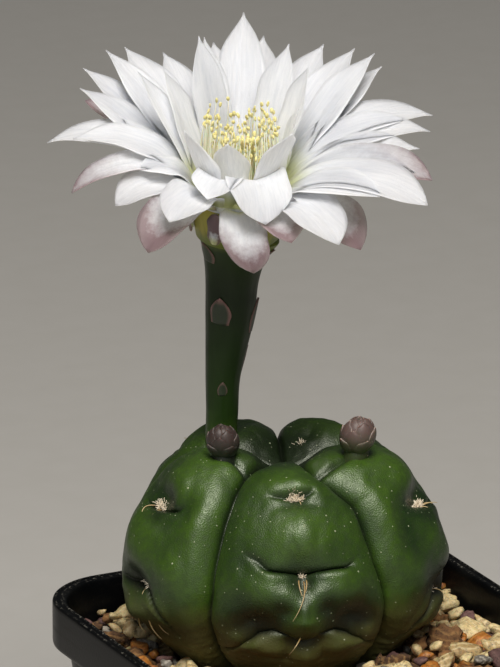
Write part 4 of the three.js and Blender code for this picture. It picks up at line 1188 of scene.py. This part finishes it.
def tube_scale(along, turn, length, width, pink):
    """A rounded scale that grows out of the tube and follows its curve."""
    rows, columns = 14, 11
    share = np.linspace(0, 1, rows)[:, None]
    across = np.linspace(-1, 1, columns)[None, :]
    place = along * (len(tube_line) - 1)
    travel = np.linalg.norm(np.diff(tube_line, axis=0), axis=1).mean()
    level = np.clip(place + share * length / travel, 0, len(tube_line) - 1)
    knots = np.arange(len(tube_line))
    middle = np.stack([np.interp(level[:, 0], knots, tube_line[:, axis]) for axis in range(3)], -1)
    way_right = np.stack([np.interp(level[:, 0], knots, tube_right[:, axis]) for axis in range(3)], -1)
    way_front = np.stack([np.interp(level[:, 0], knots, tube_front[:, axis]) for axis in range(3)], -1)
    girth = np.interp(level, knots, tube_radii)
    outline = np.clip(1 - share ** 2.2, 0.001, 1) ** 0.75 * (0.85 + 0.3 * np.sin(np.pi * share))
    facing = np.radians(turn) + across * outline * width / 2 / girth
    stand = 0.05 + 0.4 * share ** 1.5 * (1 - 0.5 * across ** 2) + 0.1 * np.cos(across * 2)
    shapes = []
    for depth in (stand, np.maximum(stand - 0.28 * (1.2 - share), -0.3)):
        shapes.append(middle[:, None] + (girth + depth)[..., None] * (
            way_right[:, None] * np.sin(facing)[..., None] + way_front[:, None] * np.cos(facing)[..., None]))
    count = rows * columns
    sheet = grid_faces(rows, columns)
    side = joined_rims(rows, columns)
    edge = np.maximum(np.abs(across) ** 1.5 + 0 * share, share ** 2 + 0 * across)
    return {
        "points": np.concatenate(shapes).reshape(-1, 3),
        "faces": [sheet, sheet[:, ::-1] + count, side],
        "Along": np.tile((TUBE_SHARE * level / (len(tube_line) - 1) + 0 * across).ravel(), 2),
        "Edge": np.tile(edge.ravel(), 2),
        "Scale": np.full(2 * count, pink),
    }


flower_tube = gather([tube_shape] + [tube_scale(*scale) for scale in TUBE_SCALES])

# %% [markdown]
# The tube is smooth and slightly waxy, yellow-green where it leaves the body, very deep green in the middle
# and yellowish again just under the petals; its deep greens are darker than its own colour, painted shade
# from the flower above. Its scales are grey-green with a dusky pink margin.

# %% Tube skin
tube_skin, tree, shader = start_material(
    "waxy_tube_skin", IOR=1.45, Subsurface_Weight=0.1, Subsurface_Scale=0.0015, Specular_IOR_Level=0.25)
shader.inputs["Subsurface Radius"].default_value = (0.5, 1.0, 0.25)
place = object_place(tree)
along = read_attribute(tree, "Along")
edge = read_attribute(tree, "Edge")
pink = read_attribute(tree, "Scale")
streak = add_node(tree, "ShaderNodeMapping", {"Vector": place, "Scale": (900, 900, 90)})
fibre = add_noise(tree, streak.outputs[0], 1, 4)
cloud = add_noise(tree, place, 220, 4)
climb = add_math(tree, "MULTIPLY_ADD", cloud.outputs[0], 0.16, along)
# Partly the tube's own greens and partly painted shade: the middle stops are darkened for the shade under the
# flower.
tube_green_and_painted_shade = add_node(tree, "ShaderNodeValToRGB", {0: climb.outputs[0]}, [
    (0.05, "#4f6c24"), (1.0, "#a8a04a"), (0.25, "#1f350c"), (0.6, "#111f07"), (0.84, "#22330e"),
    (0.95, "#717c2c")])
lines = add_range(tree, fibre.outputs[0], 0.4, 0.75, 0.0, 0.3)
colour = blend_colours(tree, lines.outputs[0], tube_green_and_painted_shade.outputs[0], "#1f3413")
scale_share = add_math(tree, "GREATER_THAN", pink, 0.0)
scale_tone = add_math(tree, "MULTIPLY", scale_share.outputs[0], 0.5)
colour = blend_colours(tree, scale_tone.outputs[0], colour, "#4a4f45")
rim = add_range(tree, edge, 0.5, 0.95)
blush = add_math(tree, "MULTIPLY", rim.outputs[0], pink)
tree.links.new(blend_colours(tree, blush.outputs[0], colour, "#94706a"), shader.inputs["Base Color"])
shine = add_range(tree, cloud.outputs[0], 0.3, 0.7, 0.36, 0.5)
tree.links.new(shine.outputs[0], shader.inputs["Roughness"])
add_bumps(tree, shader, fibre.outputs[0], 0.25, 0.0003)
make_piece("flower_tube_skin", flower_tube, [tube_skin], ["flower_tube"])

# %% [markdown]
# ## Petals
# A cactus flower has no clear line between sepals and petals: from the throat outwards the tepals turn from
# narrow, upright and white to broad, spreading and dusky at tip and back. Each is grown along its own curve:
# it leaves the cup at an angle, bends as it goes, is cupped across, and ends in a fine or a blunt tip.

# %% One petal
PETAL_ROWS, PETAL_COLUMNS = 26, 11
WIDEST = 0.55
FINE_TIP, BLUNT_TIP = (2.5, 1.5), (3.2, 0.95)
ROLL_TO_FRONT = 18


def petal(root, turn, rise, length, width, chance, bend, tip, blush=0.0, fold=None, twist=0.0, sway=0.0):
    """A thin tepal as a closed sheet. A fold gathers the bend at a share of the length."""
    share = np.linspace(0, 1, PETAL_ROWS)
    across = np.linspace(-1, 1, PETAL_COLUMNS)
    if fold is None:
        bent = share
    else:
        bent = 0.25 * share + 0.75 / (1 + np.exp(-(share - fold) * 16))
    angle = np.radians(rise + bend * (0.5 - bent))
    outward = flower_place(turn, 1, 0) - flower_place(turn, 0, 0)
    sideways = unit(np.cross(outward, flower_axis))
    middle_angle = (angle[1:] + angle[:-1]) / 2
    step = length / (PETAL_ROWS - 1)
    steps = step * (np.cos(middle_angle)[:, None] * outward + np.sin(middle_angle)[:, None] * flower_axis)
    line = np.vstack([np.zeros(3), np.cumsum(steps, axis=0)]) + flower_place(turn, *root)
    line = line + sideways * (sway * share ** 2)[:, None]
    face = np.cos(angle)[:, None] * flower_axis - np.sin(angle)[:, None] * outward
    roll = np.radians(twist * share - ROLL_TO_FRONT * math.sin(math.radians(turn)))
    side = np.cos(roll)[:, None] * sideways + np.sin(roll)[:, None] * face
    face = np.cos(roll)[:, None] * face - np.sin(roll)[:, None] * sideways
    late = np.clip((share - WIDEST) / (1 - WIDEST), 0, 1)
    early = np.clip(share / WIDEST, 0, 1)
    outline = np.where(late > 0, (1 - late ** tip[0]) ** tip[1], 0.36 + 0.64 * np.sin(np.pi / 2 * early))
    half = width / 2 * np.maximum(outline, 0.02)
    waves = chance.uniform(0, 2 * np.pi, 4)
    ruffle = 0.22 * np.sin(9 * share + waves[0])[:, None] * across ** 3
    ruffle = ruffle + 0.18 * np.sin(14 * share + waves[1])[:, None] * across ** 2
    groove = -0.16 * hump(across, 0.16) - 0.07 * hump(np.abs(across) - 0.45, 0.1)
    fade = np.sin(np.pi * np.clip(share, 0.02, 1) ** 0.7)[:, None]
    lift = 0.24 * half[:, None] * np.abs(across) ** 1.5 + (ruffle + groove) * fade
    uneven = 1 + 0.04 * np.sin(17 * share + waves[2])[:, None] * np.sign(across) * (share > 0.2)[:, None]
    upper = line[:, None] + (half[:, None] * across * uneven)[..., None] * side[:, None]
    upper = upper + lift[..., None] * face[:, None]
    thickness = (0.36 - 0.16 * share)[:, None] * (1 - 0.6 * np.abs(across) ** 3)
    lower = upper - thickness[..., None] * face[:, None]
    count = PETAL_ROWS * PETAL_COLUMNS
    sheet = grid_faces(PETAL_ROWS, PETAL_COLUMNS)
    edge = joined_rims(PETAL_ROWS, PETAL_COLUMNS)
    along = np.repeat(share, PETAL_COLUMNS)
    over = np.tile(across, PETAL_ROWS)
    return {
        "points": np.vstack([upper.reshape(-1, 3), lower.reshape(-1, 3)]),
        "faces": [sheet, sheet[:, ::-1] + count, edge],
        "Along": np.tile(along, 2), "Across": np.tile(over, 2),
        "Width": np.tile(np.repeat(half, PETAL_COLUMNS) * over, 2),
        "Blush": np.full(2 * count, blush), "Back": np.repeat([0.0, 1.0], count),
        "Seed": np.full(2 * count, chance.uniform(0, 10)),
    }


print("one petal has", 2 * PETAL_ROWS * PETAL_COLUMNS, "points")

# %% [markdown]
# The whorls are listed from the throat outwards. Each has the radius and height of its roots, its bend in
# degrees and the form of its tips. Each petal gives its turn from the front, the rise of its middle, its
# length and its width, and then what is special about it: a bend or tip that isn't its whorl's, how dusky it
# blushes, where along it the bend is gathered in a fold, and how it twists or sways to the side. The last
# whorl is the small dusky scales outside on the cup.

# %% The whorls
WHORLS = [
    {"root": (8, 7.5), "bend": 14, "tip": FINE_TIP, "petals": [
        (-150, 69, 25, 6.5), (-157, 64, 24.5, 6), (152, 65, 24, 7), (112, 77, 23, 5.5), (78, 81, 17, 5.5),
        (-98, 62, 24, 5.5), (-110, 71, 22, 5.5), (-10, 76, 14, 7), (-42, 66, 17.5, 9.5), (35, 64, 19, 9)]},
    {"root": (8.3, 6.3), "bend": 20, "tip": FINE_TIP, "petals": [
        (180, 42, 32.6, 9), (132, 47, 29, 8.5), (-133, 43, 29, 8.5), (117, 50, 30, 7), (-121, 45, 30, 7)]},
    {"root": (8.4, 5), "bend": 26, "tip": FINE_TIP, "petals": [
        (-171, 34, 30, 9), (173, 36, 31, 9), (148, 46, 29, 9), (120, 44, 30, 7), (-148, 43, 27, 9),
        (-115, 39, 31, 7), (-103, 40, 29, 7)]},
    {"root": (8.4, 7), "bend": 52, "tip": FINE_TIP, "petals": [
        (-92, 15, 31, 7.5, {"bend": 85}), (-82, 26, 27, 7, {"bend": 75}), (97, 21, 31, 9, {"bend": 75}),
        (106, 21, 33, 8.5, {"bend": 75}), (86, 22, 27.5, 8.5),
        (62, 11, 33, 9.5, {"bend": 70, "tip": BLUNT_TIP}), (54, 18, 25, 8, {"tip": BLUNT_TIP}),
        (74, 18, 27, 8.5)]},
    {"root": (8.3, 6.9), "bend": 85, "tip": BLUNT_TIP, "petals": [
        (-66, 31, 15, 6), (-62, 5, 19.6, 7.5, {"bend": 95, "blush": 0.25}), (-31, 10, 18.4, 9.5),
        (-19, 30, 15.5, 9, {"bend": 95, "fold": 0.5}), (14, 16, 18.5, 11.5, {"bend": 130, "fold": 0.45}),
        (38, 0, 23, 10, {"bend": 80})]},
    {"root": (8.3, 5.8), "bend": 82, "tip": BLUNT_TIP, "petals": [
        (0, -28, 16.8, 8.8, {"bend": 125, "blush": 1.3, "sway": -3}),
        (-72, 9.5, 29, 5, {"bend": 115, "blush": 0.9}), (-112, 29, 27, 8, {"bend": 50, "blush": 1}),
        (-40, -10.6, 20.5, 9.5, {"bend": 110, "blush": 1.6}), (24, 0, 16, 9, {"bend": 90, "blush": 1.3}),
        (54, -9, 22, 10, {"bend": 92, "blush": 1.3}), (76, 16, 32, 8.5, {"blush": 0.9}),
        (138, 12, 24.5, 8, {"blush": 0.8}), (165, 10, 23.3, 8, {"blush": 0.8}),
        (-166, 12, 23.3, 8, {"blush": 0.8}), (-138, 10, 23.8, 8, {"blush": 0.8})]},
    {"root": (8.7, -1), "bend": -6, "tip": BLUNT_TIP, "petals": [
        (turn, 84, length, 5, {"blush": 4})
        for turn, length in ((-80, 6), (-30, 6.5), (24, 5.5), (75, 6), (150, 6), (-140, 6))]},
]


def grow_whorl(whorl, chance):
    """All petals of a whorl, each with its own special values over the whorl's."""
    for turn, rise, length, width, *special in whorl["petals"]:
        wanted = {"bend": whorl["bend"], "tip": whorl["tip"]}
        wanted.update(twist=chance.normal(0, 4), sway=chance.normal(0, 0.3))
        wanted.update(*special)
        yield petal(whorl["root"], turn, rise, length, width, chance, **wanted)


dice = np.random.default_rng(11)
petals = [leaf for whorl in WHORLS for leaf in grow_whorl(whorl, dice)]
print(len(petals), "petals")

# %% [markdown]
# The petals stand on the rim of the cup, a ring turned round the flower's axis. Inside it is petal tissue,
# and outside the tube's skin runs up on it, so its faces take two materials.

# %% The cup that carries them
CUP_SECTION = [
    (7.8, -2.2), (8.3, 0.4), (8.7, 3), (8.8, 5.4), (8.3, 6.6), (7.3, 6.8), (6.8, 5.5), (6.4, 3), (6.0, 0.2),
    (5.7, -2.2), (6.7, -2.4),
]
CUP_OUTSIDE = 4
CUP_SIDES = 48
cup_turns = np.tile(np.arange(CUP_SIDES) / CUP_SIDES * 360, len(CUP_SECTION))
cup_radii, cup_heights = (np.repeat([pair[axis] for pair in CUP_SECTION], CUP_SIDES) for axis in (0, 1))
cup_points = flower_place(cup_turns, cup_radii, cup_heights)
ring_faces = grid_faces(len(CUP_SECTION) + 1, CUP_SIDES, closed=True) % (len(CUP_SECTION) * CUP_SIDES)
cup_outside = np.arange(len(cup_points)) < CUP_OUTSIDE * CUP_SIDES
cup_shape = {
    "points": cup_points, "faces": [ring_faces],
    "Along": np.where(cup_outside, np.interp(cup_heights, [-2.5, 6], [TUBE_SHARE, 1]), 0.1),
    "Across": np.zeros(len(cup_points)), "Width": np.radians(cup_turns) * 8,
    "Blush": np.zeros(len(cup_points)), "Back": np.full(len(cup_points), 0.5),
    "Seed": np.full(len(cup_points), 3.0),
}
print("the cup is", max(cup_heights) - min(cup_heights), "mm deep")

# %% [markdown]
# A petal is a skin of water-filled cells: white because it scatters light, a little see-through where it is
# thin, and silky, with sparks from single cells. Faint veins run its length. Its foot is cream-green, and the
# outer ones are dusky pink and olive towards tip and margin, more so on the back.

# %% Petal tissue
petal_tissue, tree, shader = start_material(
    "silky_petal_tissue", IOR=1.4, Roughness=0.5, Subsurface_Weight=0.9, Subsurface_Scale=0.0022,
    Sheen_Weight=0.1)
shader.inputs["Subsurface Radius"].default_value = (1.0, 0.95, 0.85)
value = {name: read_attribute(tree, name)
         for name in ("Along", "Across", "Width", "Blush", "Back", "Seed")}
place = object_place(tree)
lengthwise = add_math(tree, "MULTIPLY", value["Along"], 2.2)
vein_place = add_node(tree, "ShaderNodeCombineXYZ", {
    0: value["Width"], 1: lengthwise.outputs[0], 2: value["Seed"]})
vein = add_noise(tree, vein_place.outputs[0], 2.2, 4, 0.6)
cell = add_noise(tree, place, 2600, 2)
vein_share = add_range(tree, vein.outputs[0], 0.35, 0.75, 0.0, 0.5)
colour = blend_colours(tree, vein_share.outputs[0], "#eef0f3", "#c8ced6")
foot = add_node(tree, "ShaderNodeMapRange", {0: value["Along"], 1: 0.34, 2: 0.02},
                interpolation_type="SMOOTHERSTEP")
colour = blend_colours(tree, foot.outputs[0], colour, "#c9cf8c")
outward = add_math(tree, "MULTIPLY", value["Across"], value["Across"])
tipward = add_range(tree, value["Along"], 0.35, 1.0)
margin = add_math(tree, "MULTIPLY_ADD", outward.outputs[0], 0.35, tipward.outputs[0])
behind = add_math(tree, "MULTIPLY_ADD", value["Back"], 0.35, margin.outputs[0])
freckle = add_noise(tree, place, 500, 5, 0.7)
broken = add_math(tree, "MULTIPLY_ADD", freckle.outputs[0], 0.5, behind.outputs[0])
dusk = add_range(tree, broken.outputs[0], 0.55, 1.35)
dusky = add_math(tree, "MULTIPLY", dusk.outputs[0], value["Blush"])
bounded = add_math(tree, "MINIMUM", dusky.outputs[0], 0.92)
colour = blend_colours(tree, bounded.outputs[0], colour, "#5c3440")
tree.links.new(colour, shader.inputs["Base Color"])
relief = add_math(tree, "MULTIPLY_ADD", vein.outputs[0], 1.6, cell.outputs[0])
add_bumps(tree, shader, relief.outputs[0], 0.3, 0.00012)
flower_shape = gather(petals + [cup_shape])
petal_faces = sum(len(block) for block in flower_shape["faces"]) - len(ring_faces)
flower_shape["material"] = np.zeros(petal_faces + len(ring_faces))
flower_shape["material"][petal_faces:petal_faces + (CUP_OUTSIDE - 1) * CUP_SIDES] = 1
make_piece("petal_whorls", flower_shape, [petal_tissue, tube_skin], ["petals"])

# %% [markdown]
# ## Stamens and style
# Nearly two hundred stamens line the throat. Each is a cream thread that carries a yellow anther, a grain of
# two joined lobes. They stand on the inner wall of the cup in rows of rising height and lean towards the
# style, which is a thicker pale column with a crown of stigma lobes.

# %% Threads and anthers
STAMEN_COUNT = 180
ANTHER_LENGTHS, ANTHER_WIDTHS = (0.4, 0.6), (0.26, 0.34)
STAMEN_ROWS = [
    # height of the foot, heights of the tips, distances of the tips from the axis
    (-1.8, (12.5, 17.5), (2.6, 4.6)), (0.4, (14.5, 19.5), (3.8, 5.8)), (2.4, (16.5, 21.5), (5.2, 6.8)),
    (5.0, (18.5, 22.5), (6.0, 7.2)),
]


def anther(place, way, chance):
    """A two-lobed grain about a millimetre long."""
    steps, sides = 7, 10
    polar = np.linspace(0.05, np.pi - 0.05, steps)[:, None]
    facing = np.arange(sides)[None] / sides * 2 * np.pi
    long, wide = chance.uniform(*ANTHER_LENGTHS), chance.uniform(*ANTHER_WIDTHS)
    lobes = 1 + 0.22 * np.cos(2 * facing)
    girth = wide * lobes * np.sin(polar)
    along = long * np.cos(polar) + 0 * facing
    ball = np.stack([girth * np.cos(facing), 0.8 * girth * np.sin(facing), along], -1).reshape(-1, 3)
    right = unit(np.cross(way, chance.normal(size=3)))
    over = np.cross(way, right)
    points = place + ball @ np.array([right, over, way])
    ends = [np.arange(sides)[None, ::-1], (np.arange(sides) + (steps - 1) * sides)[None]]
    sheet = grid_faces(steps, sides, closed=True)
    return {"points": points, "faces": [sheet, *ends], "Along": np.ones(len(points))}


threads, grains = [], []
for stamen in range(STAMEN_COUNT):
    foot_height, tip_heights, tip_radii = STAMEN_ROWS[stamen % len(STAMEN_ROWS)]
    turn = stamen * 137.5 + dice.normal(0, 4)
    foot_radius = np.interp(foot_height, [-2.2, 0.2, 3, 5.5], [5.75, 6.05, 6.45, 6.85])
    tip_height = dice.uniform(*tip_heights)
    tip_radius = dice.uniform(*tip_radii)
    drift = turn + dice.normal(0, 9)
    share = np.linspace(0, 1, 9)
    bow = np.sin(np.pi * share) * dice.uniform(-0.1, 0.7)
    path = flower_place(turn + (drift - turn) * share, foot_radius + (tip_radius - foot_radius) * share + bow,
                        foot_height + (tip_height - foot_height) * share)
    path[0] += flower_place(turn, 0.35, 0) - flower_place(turn, 0, 0)
    threads.append(rod(path, np.linspace(0.14, 0.09, 9), 5))
    way = unit(path[-1] - path[-2] + 0.35 * dice.normal(size=3))
    grains.append(anther(path[-1] + 0.25 * way, way, dice))
print(STAMEN_COUNT, "stamens")

# %% [markdown]
# Pollen makes the anthers matt and granular; the threads are translucent and almost white.

# %% Stamen tissue
filament, tree, shader = start_material(
    "cream_filament", IOR=1.4, Roughness=0.45, Subsurface_Weight=0.3, Subsurface_Scale=0.0008)
along = read_attribute(tree, "Along")
tree.links.new(blend_colours(tree, along, "#e6e6b4", "#f8f4e2"), shader.inputs["Base Color"])
pollen, tree, shader = start_material("pollen_anther", Roughness=0.8, Sheen_Weight=0.2)
place = object_place(tree)
grain = add_noise(tree, place, 2400, 3)
batch = add_node(tree, "ShaderNodeTexNoise", {"Vector": place, "Scale": 320})
yellow = blend_colours(tree, batch.outputs[0], "#e2d682", "#f6f0b8")
dark = add_range(tree, grain.outputs[0], 0.5, 0.3, 0.0, 0.5)
tree.links.new(blend_colours(tree, dark.outputs[0], yellow, "#a3913f"), shader.inputs["Base Color"])
add_bumps(tree, shader, grain.outputs[0], 0.6, 0.0002)
stamen_shape = gather(threads + grains)
thread_faces = sum(len(face) for shape in threads for face in shape["faces"])
all_faces = sum(len(face) for face in stamen_shape["faces"])
stamen_shape["material"] = (np.arange(all_faces) >= thread_faces).astype(int)
make_piece("stamen_ring", stamen_shape, [filament, pollen], ["stamens"])

# %% [markdown]
# The style stands in the throat and ends in ten cream lobes that curve up and out, covered in fine warts.

# %% Style
STYLE_FOOT, STYLE_TOP = -11.7, 14.5
style_share = np.linspace(0, 1, 24)
style_heights = STYLE_FOOT + (STYLE_TOP - STYLE_FOOT) * style_share
style_path = flower_place(60, 1.8 * style_share ** 2, style_heights)
style_parts = [rod(style_path, np.interp(style_share, [0, 0.1, 0.85, 1], [1.1, 0.95, 0.85, 1.05]), 16)]
STIGMA_LOBES = 10
for lobe in range(STIGMA_LOBES):
    turn = lobe * 360 / STIGMA_LOBES + dice.uniform(-6, 6)
    outward = flower_place(turn, 1, 0) - flower_place(turn, 0, 0)
    share = np.linspace(0, 1, 9)[:, None]
    length = dice.uniform(3.0, 3.9)
    path = style_path[-1] + outward * (0.45 + 1.5 * share ** 1.5) + flower_axis * (length * share - 0.5)
    style_parts.append(rod(path, np.array([0.42, 0.45, 0.45, 0.44, 0.42, 0.4, 0.36, 0.3, 0.2]), 8))
stigma, tree, shader = start_material(
    "cream_stigma", IOR=1.4, Roughness=0.55, Subsurface_Weight=0.25, Subsurface_Scale=0.001)
place = object_place(tree)
wart = add_node(tree, "ShaderNodeTexVoronoi", {"Vector": place, "Scale": 3000})
tree.links.new(blend_colours(tree, wart.outputs[0], "#f1eab4", "#d9cc82"), shader.inputs["Base Color"])
add_bumps(tree, shader, wart.outputs[0], 0.5, 0.0002)
make_piece("style_column", gather(style_parts), [stigma], ["style"])

# %% [markdown]
# ## Floor, light and camera
# A pale floor and soft light show the plant plainly. The main light is a wide panel high up in front, as a
# softbox on a boom would be, so that the petals shine and the body's folds are dark below. A weaker one from
# the left and an even sky fill the shadows.

# %% Floor and light
floor_material, tree, shader = start_material("pale_floor", Roughness=0.9)
place = object_place(tree)
paper = add_noise(tree, place, 120, 6)
tree.links.new(blend_colours(tree, paper.outputs[0], "#b9b7b1", "#bfbdb8"), shader.inputs["Base Color"])
floor_mesh = bpy.data.meshes.new("floor")
floor_mesh.from_pydata([(-4, -4, 0), (4, -4, 0), (4, 4, 0), (-4, 4, 0)], [], [(0, 1, 2, 3)])
floor = bpy.data.objects.new("floor", floor_mesh)
floor_mesh.materials.append(floor_material)
bpy.context.scene.collection.objects.link(floor)
floor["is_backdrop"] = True


def softbox(name, place, aim, size, watts, colour):
    """A square area light that points at a place."""
    lamp = bpy.data.lights.new(name, "AREA")
    lamp.size = size
    lamp.energy = watts
    lamp.color = linear(colour)[:3]
    box = bpy.data.objects.new(name, lamp)
    box.location = place
    box.rotation_euler = (Vector(place) - Vector(aim)).to_track_quat("Z", "Y").to_euler()
    bpy.context.scene.collection.objects.link(box)
    return box


softbox("key", (-0.21, -0.46, 1.0), (0, 0, 0.1), 0.48, 14.5, "#fffaf4")
softbox("fill", (-0.6, -0.9, 0.5), (0, 0, 0.1), 0.6, 1.3, "#f2f6ff")
SKY_COLOUR, SKY_STRENGTH = "#c9ccd0", 0.09
sky = bpy.data.worlds.new("even_sky")
sky.use_nodes = True
sky.node_tree.nodes["Background"].inputs[0].default_value = linear(SKY_COLOUR)
sky.node_tree.nodes["Background"].inputs[1].default_value = SKY_STRENGTH
bpy.context.scene.world = sky
bpy.context.scene.view_settings.view_transform = "Standard"
print("two softboxes and an even sky")

# %% [markdown]
# The photograph was taken from about a metre and a half with a long lens, from a little above the flower and
# to the left of the pot's front, which is why the rim hardly converges.

# %% Camera
AZIMUTH, ELEVATION = math.radians(-26.6), math.radians(18.24)
DISTANCE, FOCAL_PIXELS, FRAME_HEIGHT = 1487.0, 8000.0, 667
TARGET_HEIGHT, TARGET_RIGHT, TARGET_UP = 90.0, -11.75, 38.9
SENSOR_WIDTH = 36
level_back = math.cos(ELEVATION) * np.array([math.sin(AZIMUTH), -math.cos(AZIMUTH), 0])
camera_back = level_back + math.sin(ELEVATION) * UPWARD
camera_right = np.array([math.cos(AZIMUTH), math.sin(AZIMUTH), 0])
camera_up = np.cross(camera_back, camera_right)
target = TARGET_HEIGHT * UPWARD + TARGET_RIGHT * camera_right + TARGET_UP * camera_up
eye = target + DISTANCE * camera_back
lens = bpy.data.cameras.new("camera")
lens.sensor_fit = "AUTO"
lens.sensor_width = SENSOR_WIDTH
lens.lens = SENSOR_WIDTH * FOCAL_PIXELS / FRAME_HEIGHT
lens.clip_start = 0.05
lens.clip_end = 50
camera = bpy.data.objects.new("camera", lens)
directions = np.stack([camera_right, camera_up, camera_back], 1)
placing = [[*row, x * MM] for row, x in zip(directions, eye)]
camera.matrix_world = Matrix(placing + [[0, 0, 0, 1]])
bpy.context.scene.collection.objects.link(camera)
bpy.context.scene.camera = camera
print("camera at", np.round(eye, 1), "mm")

# %% [markdown]
# ## Finish
# The box of the plain solids and the box of the finer pieces are gathered side by side, and the size of the
# second is printed. The finer pieces have to stay within the solids' box.

# %% Sizes
visual_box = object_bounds()
boxes = {"cad": cad_box, "visual": visual_box}
{name: [list(corner) for corner in box] for name, box in boxes.items()}
print("visual size:", [round(1000 * side, 1) for side in visual_box[1] - visual_box[0]], "mm")
